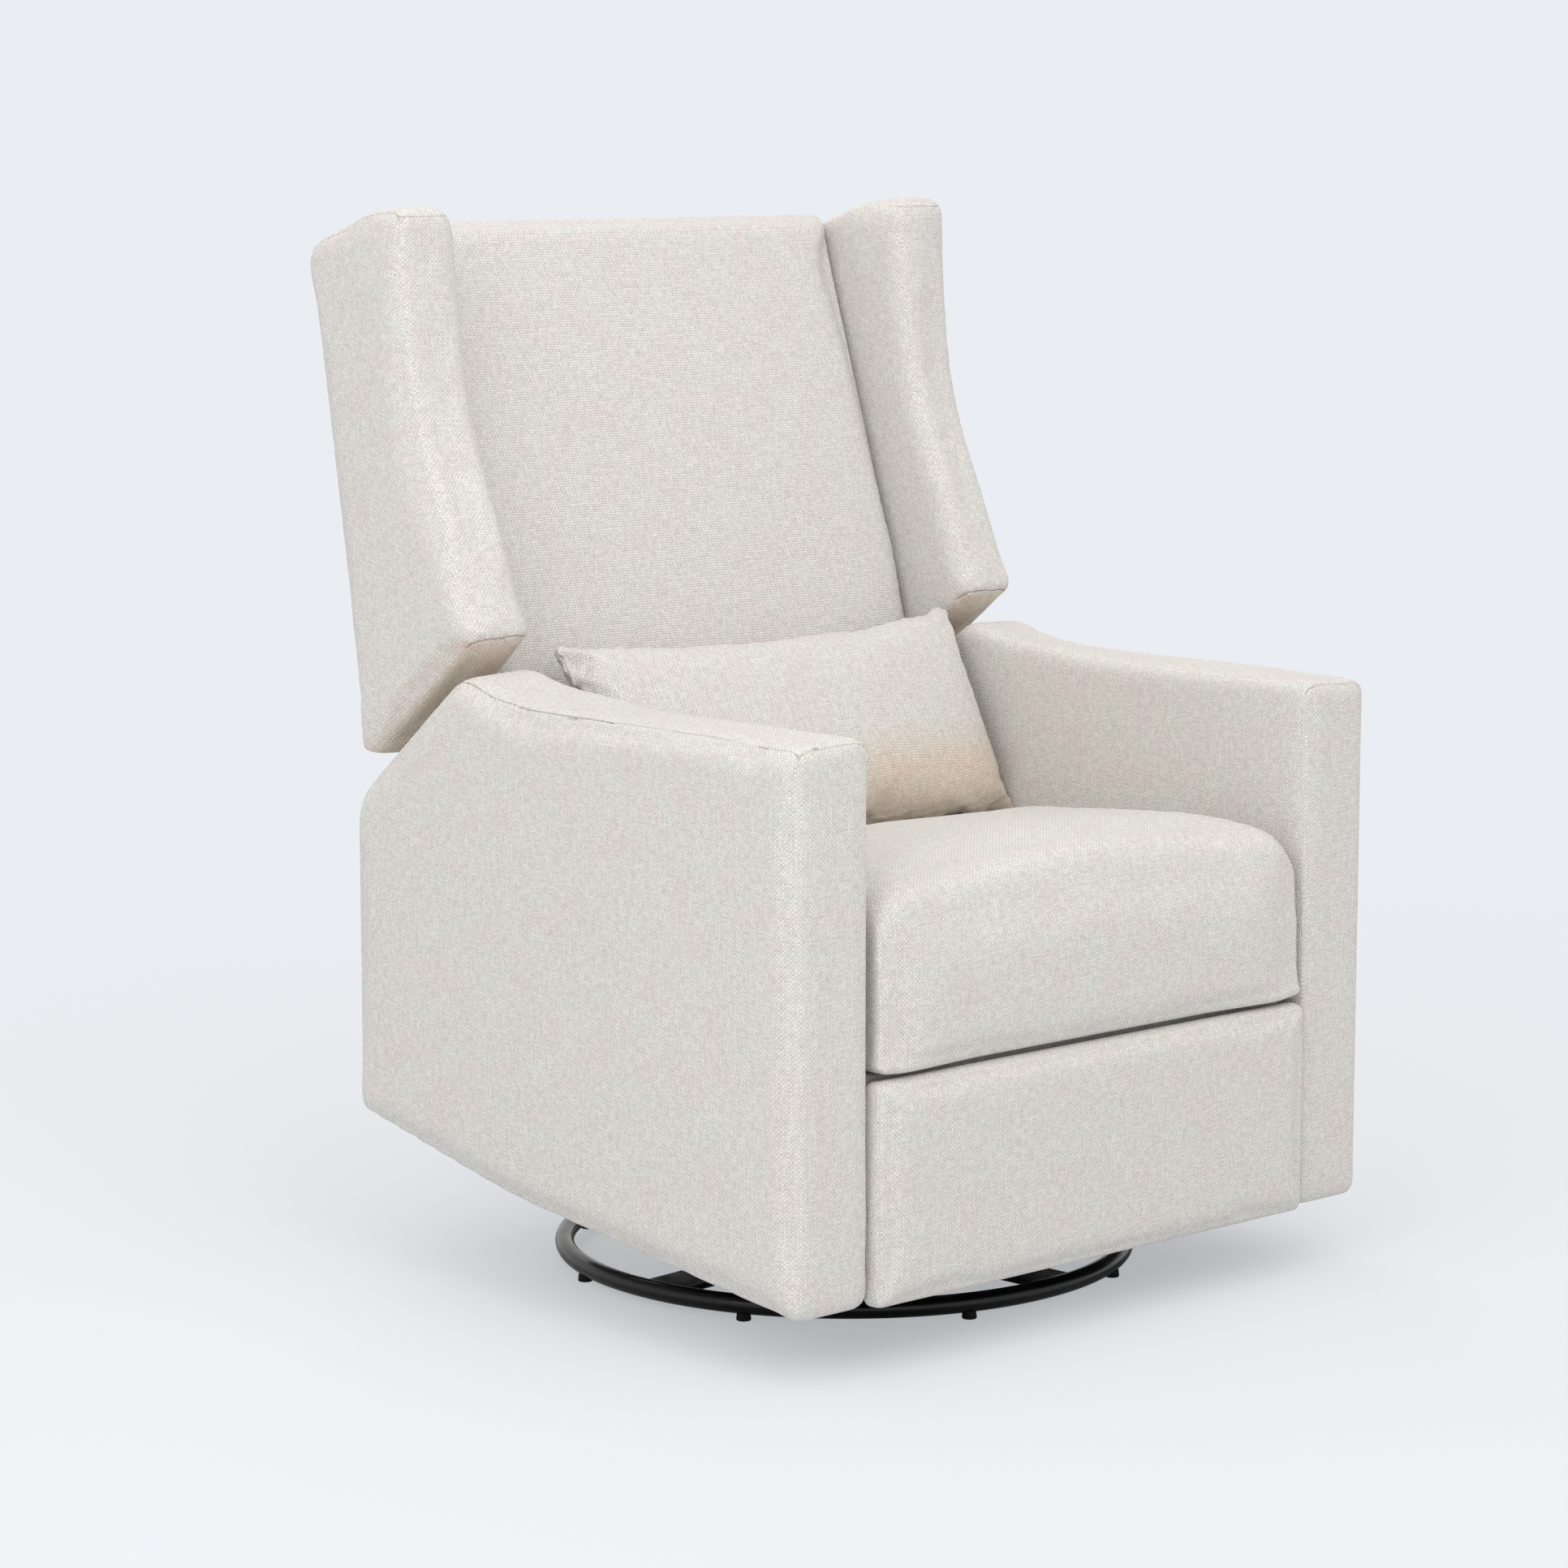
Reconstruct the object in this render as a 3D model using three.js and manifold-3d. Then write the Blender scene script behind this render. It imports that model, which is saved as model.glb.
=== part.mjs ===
// Swivel glider recliner for a nursery: a winged, upholstered armchair on a ring base.
// Millimetres, +Z up. The chair faces -Y, and the sitter's left hand is at +X.
// The origin is on the floor, under the middle of the chair's outline.
//
// The ring base carries a swivel. On the swivel stand four hanging links, and the chair
// hangs on their lower ends, so it glides. Between the arms a double parallelogram of
// links swings the footrest out, and the back turns on two pins behind the seat.
import * as THREE from 'three';
import { mergeVertices } from 'three/addons/utils/BufferGeometryUtils.js';
import Module from 'manifold-3d';

const wasm = await Module();
wasm.setup();

// ---------------------------------------------------------------- driving dimensions

const FIT = 0.3;                    // gap between pieces that touch, and round every pin

// Base: a ring of bent tube, two flat bars across it and a swivel bearing.
const RING_RADIUS = 283.5;
const RING_TUBE_RADIUS = 10;
const BASE_TURN = 5;                // degrees that the ring stands turned from the chair
const FOOT_COUNT = 8;               // two in each quarter, clear of the bars
const FOOT_RADIUS = 7.5;
const FOOT_HEIGHT = 6;
const BAR_WIDTH = 50;
const BAR_THICKNESS = 6;
const SWIVEL_Y = -20;               // swivel axis, a little in front of the outline's middle
const BEARING_RADIUS = 78;
const BEARING_THICKNESS = 3.5;
const BEARING_RIB_HEIGHT = 4;
const BEARING_LIP = 4;
const SWIVEL_BOLT_RADIUS = 8;
const SWIVEL_HEAD_RADIUS = 14;
const SWIVEL_HEAD_HEIGHT = 5;

// Glide stand: two channels on the bearing, two hanger plates and four links.
const CHANNEL_WIDTH = 40;
const CHANNEL_HEIGHT = 24;
const CHANNEL_WALL = 3;
const CHANNEL_SPREAD = 50;          // each channel's middle, from the swivel axis
const STAND_SIDE_GAP = 68;          // from the seat frame's outside in to the hanger plates
const STAND_PLATE = 4;
const STAND_LANE_GAP = 3;
const HANGER_FOOT = 95;             // half length of the hanger's bottom edge
const HANGER_DIP = 40;              // how far the hanger's top dips between the links
const GLIDE_LINK_SPREAD = 120;      // each link pair, from the swivel axis
const GLIDE_LINK_LENGTH = 115;
const GLIDE_LINK_WIDTH = 26;
const GLIDE_LOWER_Z = 72;
const GLIDE_PIN_RADIUS = 6;
const PIN_HEAD_RADIUS = 10;
const PIN_HEAD_HEIGHT = 2.4;

// Chair outline.
const HALF_WIDTH = 381;
const ARM_WIDTH = 88;
const ARM_FRONT_Y = -370;
const ARM_REAR_Y = 288;
const ARM_TOP_Z = 588;
const ARM_FRONT_BOTTOM_Z = 61;
const ARM_REAR_BOTTOM_Z = 154;
const ARM_KNEE = [50, 106];         // y, z where the lower edge turns up to the back
const ARM_FRONT_RISE = 4;
const ARM_PEAK_Y = 111;
const ARM_SLOPE_LENGTH = 86;        // from the level top back to the peak
const ARM_PEAK_Z = 615;
const ARM_SHOULDER_Z = 471;
const ARM_EDGE_RADIUS = 10;
const ARM_SHOULDER_RADIUS = 60;
const ARM_SLOPE_RADIUS = 200;
const ARM_KNEE_RADIUS = 900;
const REAR_PANEL_THICKNESS = 15;
const REAR_PANEL_TOP_Z = 332;

// Mechanism in the gap between each arm and the seat.
const PLATE = 3;
const PLATE_HOLE_RADIUS = 15;
const ARM_GAP = 0.5;
const LANE_GAP = 3;
const CROSS_TUBE_RADIUS = 11;
const CROSS_TUBE_WALL = 2;
const CROSS_TUBE_Z = 229;
const FRONT_CROSS_TUBE_Y = -120;
const REAR_CROSS_TUBE_Y = 85;
const LIFT_PIVOT = [-285, 237];     // y, z of the footrest's main pivot
const LIFT_LENGTH = 170;
const LIFT_REST_ANGLE = 25;         // degrees behind straight down
const LIFT_LINK_WIDTH = 30;
const STAY_OFFSET = 74;
const STAY_WIDTH = 20;
const CARRIER_WIDTH = 20;
const FOOTREST_PIVOT = [-314, 197];
const FOLLOWER_ARM = 52;
const FOLLOWER_ANGLE = 106;         // degrees from +Y of the follower's arm
const FOLLOWER_WIDTH = 18;
const LINK_PIN_RADIUS = 5;
const TORQUE_TUBE_RADIUS = 9;
const TORQUE_TUBE_WALL = 2.5;
const TORQUE_TUBE_CLEARANCE = 2;
const BACK_PIVOT = [215, 357];

// Seat.
const SEAT_RAIL_TOP_Z = 269;
const SEAT_RAIL_HEIGHT = 22;
const SEAT_RAIL_WIDTH = 30;
const SEAT_SIDE_RAIL_WIDTH = 22;
const SEAT_FRAME_SIDE_GAP = 35;     // from the arm to the seat frame, for the mechanism
const SEAT_FRAME_FRONT_Y = -332;
const SEAT_FRAME_REAR_Y = 100;
const SPRING_COUNT = 4;
const SPRING_WIRE_RADIUS = 2;
const SPRING_SWING = 20;
const SPRING_WAVES = 7;
const SPRING_ARCH = 3;
const TIE_WIRE_RADIUS = 1.5;
const CUSHION_SIDE_GAP = 4.5;
const CUSHION_FRONT_Y = -376;
const CUSHION_REAR_Y = 98;
const CUSHION_BOTTOM_Z = 278;
const CUSHION_TOP_Z = 437;          // at the side edges, in front
const CUSHION_FRONT_CROWN = 46;
const CUSHION_REAR_CROWN = 12;
const CUSHION_REAR_DROP = 30;
const CUSHION_EDGE_RADIUS = 34;

// Footrest.
const FOOTREST_FRONT_Y = -383;
const FOOTREST_SIDE_GAP = 3;
const FOOTREST_BOTTOM_Z = 61;
const FOOTREST_TOP_Z = 270;
const FOOTREST_PAD_THICKNESS = 27;
const FOOTREST_BOARD_THICKNESS = 16;
const FOOTREST_BOARD_INSET = 16;
const FOOTREST_FLANGE_WIDTH = 26;
const FOOTREST_FLANGE_HEIGHT = 92;

// Winged back. Its rear face leans, and every layer of it is set off from that line.
const BACK_REAR_LOW = [266.6, 339];
const BACK_REAR_HIGH = [380, 1014];
const BACK_FRONT_LOW = [103, 335];
const BACK_FRONT_HIGH = [329, 1043];
const BACK_TOP_REAR = [384.1, 1024];
const BACK_FRAME_THICKNESS = 22;
const OUTSIDE_BACK_INSET = 9;
const OUTSIDE_BACK_PROUD = 7;
const OUTSIDE_BACK_TOP_Z = 982;
const STILE_WIDTH = 22;
const STILE_GAP = 0.5;              // from the hinge bracket's inner face
const BACK_RAIL_HEIGHT = 50;
const BACK_LOWER_RAIL_Z = 377;
const BACK_UPPER_RAIL_Z = 922;
const BACK_BRACKET_TOP_Z = 557;
const BACK_EDGE_RADIUS = 12;
const WING_INSET = 13;              // the wing's outer face, in from the arm's
const WING_EDGE_RADIUS = 11;
const WING_TIP = [106, 644];        // y, z of the wing's outline, from its tip upwards
const WING_HOLLOW = [207, 838];
const WING_TOP_FRONT = [232, 1058];
const WING_TOP_MIDDLE = [284, 1053];
const WING_TOP_RISE = 2;            // above the back frame, at the rear
const WING_HEEL = [268, 514];       // where the lower edge turns level
const WING_BOTTOM_Z = 511;

// Loose pieces.
const PILLOW_WIDTH = 522;
const PILLOW_HEIGHT = 222;
const PILLOW_THICKNESS = 104;
const PILLOW_EDGE = 5;
const PILLOW_LEAN = 27;             // degrees from upright
const PILLOW_ARM_GAP = 1;
const PILLOW_Y = 92;
const PILLOW_Z = 531;

// ---------------------------------------------------------------- derived places

const INSIDE = HALF_WIDTH - ARM_WIDTH;                   // inner face of an arm
const WING_OUTSIDE = HALF_WIDTH - WING_INSET;
const SEAT_FRAME_HALF_WIDTH = INSIDE - SEAT_FRAME_SIDE_GAP;
const STAND_HALF_WIDTH = SEAT_FRAME_HALF_WIDTH - STAND_SIDE_GAP;
const FLOOR_TO_RING = FOOT_HEIGHT;
const RING_Z = FLOOR_TO_RING + RING_TUBE_RADIUS;
const LOWER_BAR_Z = RING_Z - BAR_THICKNESS - FIT / 2;
const UPPER_BAR_Z = RING_Z + FIT / 2;
const LOWER_RACE_Z = UPPER_BAR_Z + BAR_THICKNESS + FIT;
const UPPER_RACE_Z = LOWER_RACE_Z + BEARING_THICKNESS + BEARING_RIB_HEIGHT + FIT;
const CHANNEL_Z = UPPER_RACE_Z + BEARING_THICKNESS + FIT;
const GLIDE_UPPER_Z = GLIDE_LOWER_Z + GLIDE_LINK_LENGTH;
const GLIDE_FRONT_Y = SWIVEL_Y - GLIDE_LINK_SPREAD;
const GLIDE_REAR_Y = SWIVEL_Y + GLIDE_LINK_SPREAD;
const GLIDE_LINK_X = STAND_HALF_WIDTH + STAND_LANE_GAP;
const CARRIAGE_X = GLIDE_LINK_X + STAND_PLATE + STAND_LANE_GAP;

// Lane 0 holds the mechanism plate, bolted to the arm. Lanes 1 to 3 lie inside it.
const laneX = (lane) => INSIDE - ARM_GAP - PLATE - lane * (PLATE + LANE_GAP);
const STILE_OUTSIDE = laneX(1) - STILE_GAP;

// The lift link turns about LIFT_PIVOT, and the stay turns beside it, so the carrier
// between their lower ends moves without turning. The follower and the carrier then
// turn the footrest by the lift link's own angle.
const radians = THREE.MathUtils.degToRad;
const along = ([y, z], angle, length) =>
  [y + length * Math.cos(radians(angle)), z + length * Math.sin(radians(angle))];
const LIFT_END = along(LIFT_PIVOT, LIFT_REST_ANGLE - 90, LIFT_LENGTH);
const STAY_PIVOT = along(LIFT_PIVOT, 0, STAY_OFFSET);
const STAY_END = along(LIFT_END, 0, STAY_OFFSET);
const FOLLOWER_PIVOT = along(LIFT_END, FOLLOWER_ANGLE, FOLLOWER_ARM);
const FOLLOWER_END = along(FOOTREST_PIVOT, FOLLOWER_ANGLE, FOLLOWER_ARM);

const BACK_LEAN = Math.atan2(
  BACK_REAR_HIGH[0] - BACK_REAR_LOW[0], BACK_REAR_HIGH[1] - BACK_REAR_LOW[1]);
const rearY = (z, setBack = 0) =>
  BACK_REAR_LOW[0] + (z - BACK_REAR_LOW[1]) * Math.tan(BACK_LEAN) - setBack;
const FRAME_SET_BACK = OUTSIDE_BACK_INSET + BACK_FRAME_THICKNESS;

// ---------------------------------------------------------------- shape helpers

const SIDEWAYS = new THREE.Matrix4().makeBasis(
  new THREE.Vector3(0, 1, 0), new THREE.Vector3(0, 0, 1), new THREE.Vector3(1, 0, 0));

// A closed outline from corners [u, v, radius], listed anticlockwise. Each corner with a
// radius becomes an arc, kept short enough to leave half of the edges beside it.
function outline(corners) {
  const shape = new THREE.Shape();
  corners.forEach(([u, v, radius = 0], i) => {
    if (radius === 0) {
      if (i === 0) shape.moveTo(u, v);
      else shape.lineTo(u, v);
      return;
    }
    const corner = new THREE.Vector2(u, v);
    const [beforeU, beforeV] = corners[(i + corners.length - 1) % corners.length];
    const [afterU, afterV] = corners[(i + 1) % corners.length];
    const inward = corner.clone().sub({ x: beforeU, y: beforeV });
    const outward = new THREE.Vector2(afterU, afterV).sub(corner);
    const turn = Math.atan2(inward.cross(outward), inward.dot(outward));
    const room = Math.min(inward.length(), outward.length()) / 2.01;
    const reach = Math.min(radius * Math.tan(Math.abs(turn) / 2), room);
    const arcRadius = reach / Math.tan(Math.abs(turn) / 2);
    const side = Math.sign(turn);
    const heading = inward.angle();
    const enter = corner.clone().addScaledVector(inward.normalize(), -reach);
    const centre = enter.clone().addScaledVector(
      new THREE.Vector2(-inward.y, inward.x), side * arcRadius);
    const start = heading - side * Math.PI / 2;
    shape.absarc(centre.x, centre.y, arcRadius, start, start + turn, side < 0);
  });
  shape.closePath();
  return shape;
}

function hole([u, v], radius, sides = 12) {
  return new THREE.Path(Array.from({ length: sides }, (_, i) => new THREE.Vector2(
    u + radius * Math.cos(2 * Math.PI * i / sides),
    v - radius * Math.sin(2 * Math.PI * i / sides))));
}

// A shape drawn in the side plane (y, z), made `thickness` deep from x0 towards +X.
function sidePlate(shape, thickness, x0, curveSegments = 2) {
  const geometry = new THREE.ExtrudeGeometry(
    shape, { depth: thickness, bevelEnabled: false, curveSegments });
  return geometry.applyMatrix4(SIDEWAYS).translate(x0, 0, 0);
}

// The same with its edges rolled over, as a padded cover is.
function sidePad(shape, thickness, x0, radius, curveSegments = 2) {
  const geometry = new THREE.ExtrudeGeometry(shape, {
    depth: thickness - 2 * radius,
    bevelThickness: radius,
    bevelSize: radius,
    bevelOffset: -radius,
    bevelSegments: 2,
    curveSegments,
  });
  return geometry.applyMatrix4(SIDEWAYS).translate(x0 + radius, 0, 0);
}

// A bar with round ends from one point of the side plane to another.
function barShape(from, to, width) {
  const radius = width / 2;
  const angle = Math.atan2(to[1] - from[1], to[0] - from[0]);
  const shape = new THREE.Shape();
  shape.absarc(to[0], to[1], radius, angle - Math.PI / 2, angle + Math.PI / 2);
  shape.absarc(from[0], from[1], radius, angle + Math.PI / 2, angle + 1.5 * Math.PI);
  shape.closePath();
  return shape;
}

function block(xs, ys, zs) {
  const geometry = new THREE.BoxGeometry(xs[1] - xs[0], ys[1] - ys[0], zs[1] - zs[0]);
  return geometry.translate((xs[0] + xs[1]) / 2, (ys[0] + ys[1]) / 2, (zs[0] + zs[1]) / 2);
}

// A round bar along X at a point of the side plane.
function pin([y, z], x0, x1, radius, sides = 12) {
  const geometry = new THREE.CylinderGeometry(radius, radius, x1 - x0, sides);
  return geometry.rotateZ(-Math.PI / 2).translate((x0 + x1) / 2, y, z);
}

// A tube along X, open at both ends and centred on x = 0.
function crossTube([y, z], halfLength, radius, wall) {
  const profile = [
    [radius - wall, -halfLength], [radius, -halfLength], [radius, halfLength],
    [radius - wall, halfLength], [radius - wall, -halfLength],
  ].map(([r, h]) => new THREE.Vector2(r, h));
  return new THREE.LatheGeometry(profile, 16).rotateZ(-Math.PI / 2).translate(0, y, z);
}

// A ring or disc turned about the swivel axis, from its [radius, z] section.
function turned(section, sides = 28) {
  const profile = section.map(([r, z]) => new THREE.Vector2(r, z));
  return new THREE.LatheGeometry(profile, sides).rotateX(Math.PI / 2).translate(0, SWIVEL_Y, 0);
}

function stripped(geometry) {
  const bare = geometry.clone();
  bare.deleteAttribute('normal');
  bare.deleteAttribute('uv');
  return mergeVertices(bare, 1e-4);
}

function solid(geometry) {
  const bare = stripped(geometry);
  return new wasm.Manifold(new wasm.Mesh({
    numProp: 3,
    vertProperties: new Float32Array(bare.attributes.position.array),
    triVerts: new Uint32Array(bare.index.array),
  }));
}

function geometryOf(manifold) {
  const mesh = manifold.getMesh();
  const geometry = new THREE.BufferGeometry();
  geometry.setAttribute('position', new THREE.BufferAttribute(mesh.vertProperties, 3));
  geometry.setIndex(new THREE.BufferAttribute(mesh.triVerts, 1));
  return geometry;
}

const joined = (...pieces) => geometryOf(pieces.map(solid).reduce((a, b) => a.add(b)));
const cut = (piece, ...tools) =>
  geometryOf(tools.map(solid).reduce((a, b) => a.subtract(b), solid(piece)));

function mirrored(geometry) {
  const bare = stripped(geometry);
  const index = bare.index.array;
  for (let i = 0; i < index.length; i += 3) {
    [index[i], index[i + 1]] = [index[i + 1], index[i]];
  }
  return bare.applyMatrix4(new THREE.Matrix4().makeScale(-1, 1, 1));
}

// A soft block: box faces blown out to rounded edges, with `cells` divisions between
// them, then moved point by point by `shape`.
function softBlock(xs, ys, zs, radius, cells, shape = () => {}) {
  const stops = (low, high) => {
    const inner = Array.from({ length: cells + 1 },
      (_, i) => low + radius + (high - low - 2 * radius) * i / cells);
    const step = radius * (1 - Math.tan(Math.PI / 8));
    return [low, low + step, ...inner, high - step, high];
  };
  const lines = [stops(...xs), stops(...ys), stops(...zs)];
  const count = lines[0].length - 1;
  const geometry = stripped(new THREE.BoxGeometry(2, 2, 2, count, count, count));
  const limits = [xs, ys, zs];
  const places = geometry.attributes.position;
  const point = new THREE.Vector3();
  const core = new THREE.Vector3();
  for (let i = 0; i < places.count; i += 1) {
    point.fromBufferAttribute(places, i);
    ['x', 'y', 'z'].forEach((axis, k) => {
      point[axis] = lines[k][Math.round((point[axis] + 1) / 2 * count)];
      const [low, high] = limits[k];
      core[axis] = THREE.MathUtils.clamp(point[axis], low + radius, high - radius);
    });
    point.sub(core).setLength(radius).add(core);
    shape(point);
    places.setXYZ(i, point.x, point.y, point.z);
  }
  return geometry;
}

// ---------------------------------------------------------------- nodes

const chair = new THREE.Group();

function material(color, roughness, metalness = 0) {
  return new THREE.MeshStandardMaterial({ color, roughness, metalness });
}
const cloth = () => material('#d9d4cf', 0.95);
const glossBlack = () => material('#0b0b0c', 0.25, 0.4);
const blackSteel = () => material('#1b1c1e', 0.5, 0.6);
const zincSteel = () => material('#9b9fa3', 0.4, 0.9);
const timber = () => material('#c9a678', 0.8);

function assembly(parent) {
  const group = new THREE.Group();
  parent.add(group);
  return group;
}

function add(group, name, geometry, finish) {
  const mesh = new THREE.Mesh(geometry, finish);
  mesh.name = name;
  group.add(mesh);
}

// The same piece on both sides: built for the left side, at +X, and mirrored.
function addPair(group, name, geometry, finish) {
  add(group, `${name}_left`, geometry, finish());
  add(group, `${name}_right`, mirrored(geometry), finish());
}

// ---------------------------------------------------------------- ring base

const base = assembly(chair);
const ringTorus = (tubeRadius) =>
  new THREE.TorusGeometry(RING_RADIUS, tubeRadius, 10, 60).translate(0, SWIVEL_Y, RING_Z);
add(base, 'base_ring', ringTorus(RING_TUBE_RADIUS), glossBlack());

// Rubber feet: each has a hollow top that takes the tube, and ends below the bars.
const footTop = LOWER_BAR_Z - FIT;
const ringClearance = ringTorus(RING_TUBE_RADIUS + FIT);
for (let i = 0; i < FOOT_COUNT; i += 1) {
  const angle = radians(BASE_TURN + 360 * (i + 0.5) / FOOT_COUNT);
  const profile = [
    [0, 0], [FOOT_RADIUS - 2, 0], [FOOT_RADIUS, 2], [FOOT_RADIUS, footTop], [0, footTop],
  ].map(([r, z]) => new THREE.Vector2(r, z));
  const foot = new THREE.LatheGeometry(profile, 12)
    .rotateX(Math.PI / 2)
    .translate(RING_RADIUS * Math.cos(angle), SWIVEL_Y + RING_RADIUS * Math.sin(angle), 0);
  add(base, `foot_${i + 1}`, cut(foot, ringClearance), material('#111112', 0.8));
}

const barReach = RING_RADIUS - RING_TUBE_RADIUS / 2;
const barBore = turned([
  [0, 0], [SWIVEL_BOLT_RADIUS + FIT, 0], [SWIVEL_BOLT_RADIUS + FIT, CHANNEL_Z], [0, CHANNEL_Z],
], 16);
const baseBar = (turn, low) => block(
  [-barReach, barReach], [-BAR_WIDTH / 2, BAR_WIDTH / 2], [low, low + BAR_THICKNESS])
  .rotateZ(radians(turn))
  .translate(0, SWIVEL_Y, 0);
const sideBar = baseBar(BASE_TURN, LOWER_BAR_Z);
const frontBar = baseBar(BASE_TURN + 90, UPPER_BAR_Z);
add(base, 'base_bar_side_to_side', cut(sideBar, ringClearance, barBore), blackSteel());
add(base, 'base_bar_front_to_back', cut(frontBar, ringClearance, barBore), blackSteel());

const boltHole = SWIVEL_BOLT_RADIUS + FIT;
const ribInside = BEARING_RADIUS * 0.62;
const ribOutside = BEARING_RADIUS * 0.8;
const raceTop = LOWER_RACE_Z + BEARING_THICKNESS;
add(base, 'lower_race', turned([
  [boltHole, LOWER_RACE_Z], [BEARING_RADIUS, LOWER_RACE_Z], [BEARING_RADIUS, raceTop],
  [ribOutside, raceTop], [ribOutside - 3, raceTop + BEARING_RIB_HEIGHT],
  [ribInside + 3, raceTop + BEARING_RIB_HEIGHT], [ribInside, raceTop], [boltHole, raceTop],
  [boltHole, LOWER_RACE_Z],
]), zincSteel());

// ---------------------------------------------------------------- swivel and glide stand

const stand = assembly(chair);
const capTop = UPPER_RACE_Z + BEARING_THICKNESS;
const lipInside = BEARING_RADIUS + 2;
const lipOutside = lipInside + BEARING_LIP;
const boltHeadTop = LOWER_BAR_Z - FIT;
const nutTop = CHANNEL_Z + SWIVEL_HEAD_HEIGHT;
// The upper race with the swivel bolt, whose head holds the bars from below.
add(stand, 'upper_race', turned([
  [0, boltHeadTop - SWIVEL_HEAD_HEIGHT], [SWIVEL_HEAD_RADIUS, boltHeadTop - SWIVEL_HEAD_HEIGHT],
  [SWIVEL_HEAD_RADIUS, boltHeadTop], [SWIVEL_BOLT_RADIUS, boltHeadTop],
  [SWIVEL_BOLT_RADIUS, UPPER_RACE_Z], [lipInside, UPPER_RACE_Z],
  [lipInside, UPPER_RACE_Z - BEARING_LIP], [lipOutside, UPPER_RACE_Z - BEARING_LIP],
  [lipOutside, capTop], [SWIVEL_HEAD_RADIUS, capTop], [SWIVEL_HEAD_RADIUS, nutTop], [0, nutTop],
]), zincSteel());

// Each channel is folded sheet, open downwards, with a turned-in foot along each side.
function channel(y) {
  const half = CHANNEL_WIDTH / 2;
  const low = CHANNEL_Z;
  const high = CHANNEL_Z + CHANNEL_HEIGHT;
  const section = outline([
    [y - half, low], [y - half + 3 * CHANNEL_WALL, low],
    [y - half + 3 * CHANNEL_WALL, low + CHANNEL_WALL], [y - half + CHANNEL_WALL, low + CHANNEL_WALL],
    [y - half + CHANNEL_WALL, high - CHANNEL_WALL], [y + half - CHANNEL_WALL, high - CHANNEL_WALL],
    [y + half - CHANNEL_WALL, low + CHANNEL_WALL], [y + half - 3 * CHANNEL_WALL, low + CHANNEL_WALL],
    [y + half - 3 * CHANNEL_WALL, low], [y + half, low],
    [y + half, high, CHANNEL_WALL], [y - half, high, CHANNEL_WALL],
  ]);
  const halfLength = STAND_HALF_WIDTH - STAND_PLATE - FIT;
  return sidePlate(section, 2 * halfLength, -halfLength);
}
add(stand, 'front_channel', channel(SWIVEL_Y - CHANNEL_SPREAD), blackSteel());
add(stand, 'rear_channel', channel(SWIVEL_Y + CHANNEL_SPREAD), blackSteel());

// Hanger plate: a wide foot, and a horn over each pair of links.
const hornTop = GLIDE_UPPER_Z + GLIDE_LINK_WIDTH / 2;
const hornHalf = GLIDE_LINK_WIDTH / 2;
const hornOut = GLIDE_LINK_SPREAD + hornHalf;
const hornIn = GLIDE_LINK_SPREAD - hornHalf;
const hangerShape = outline([
  [SWIVEL_Y - HANGER_FOOT, CHANNEL_Z, 6], [SWIVEL_Y + HANGER_FOOT, CHANNEL_Z, 6],
  [SWIVEL_Y + hornOut, GLIDE_UPPER_Z - hornHalf, 20], [SWIVEL_Y + hornOut, hornTop, hornHalf],
  [SWIVEL_Y + hornIn, hornTop, hornHalf],
  [SWIVEL_Y + hornIn - hornHalf, hornTop - HANGER_DIP, 20],
  [SWIVEL_Y - hornIn + hornHalf, hornTop - HANGER_DIP, 20], [SWIVEL_Y - hornIn, hornTop, hornHalf],
  [SWIVEL_Y - hornOut, hornTop, hornHalf], [SWIVEL_Y - hornOut, GLIDE_UPPER_Z - hornHalf, 20],
]);
hangerShape.holes.push(
  hole([GLIDE_FRONT_Y, GLIDE_UPPER_Z], GLIDE_PIN_RADIUS + FIT),
  hole([GLIDE_REAR_Y, GLIDE_UPPER_Z], GLIDE_PIN_RADIUS + FIT),
  hole([SWIVEL_Y, (CHANNEL_Z + CHANNEL_HEIGHT + hornTop - HANGER_DIP) / 2], CHANNEL_HEIGHT));
addPair(stand, 'hanger_plate',
  sidePlate(hangerShape, STAND_PLATE, STAND_HALF_WIDTH - STAND_PLATE), blackSteel);

// A glide link carries both its rivets: the upper one turns in the hanger plate, and
// the lower one turns in the carriage plate.
function glideLink(y) {
  const top = [y, GLIDE_UPPER_Z];
  const bottom = [y, GLIDE_LOWER_Z];
  const hangerFace = STAND_HALF_WIDTH - STAND_PLATE - FIT;
  const carriageFace = CARRIAGE_X + STAND_PLATE + FIT;
  return joined(
    sidePlate(barShape(bottom, top, GLIDE_LINK_WIDTH), STAND_PLATE, GLIDE_LINK_X, 4),
    pin(top, hangerFace - PIN_HEAD_HEIGHT / 2, GLIDE_LINK_X + STAND_PLATE / 2, GLIDE_PIN_RADIUS),
    pin(top, hangerFace - PIN_HEAD_HEIGHT, hangerFace, PIN_HEAD_RADIUS),
    pin(bottom, GLIDE_LINK_X + STAND_PLATE / 2, carriageFace + PIN_HEAD_HEIGHT / 2, GLIDE_PIN_RADIUS),
    pin(bottom, carriageFace, carriageFace + PIN_HEAD_HEIGHT, PIN_HEAD_RADIUS));
}
const frontLinks = assembly(stand);
const rearLinks = assembly(stand);
addPair(frontLinks, 'front_glide_link', glideLink(GLIDE_FRONT_Y), zincSteel);
addPair(rearLinks, 'rear_glide_link', glideLink(GLIDE_REAR_Y), zincSteel);

// ---------------------------------------------------------------- carriage and mechanism

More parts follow.
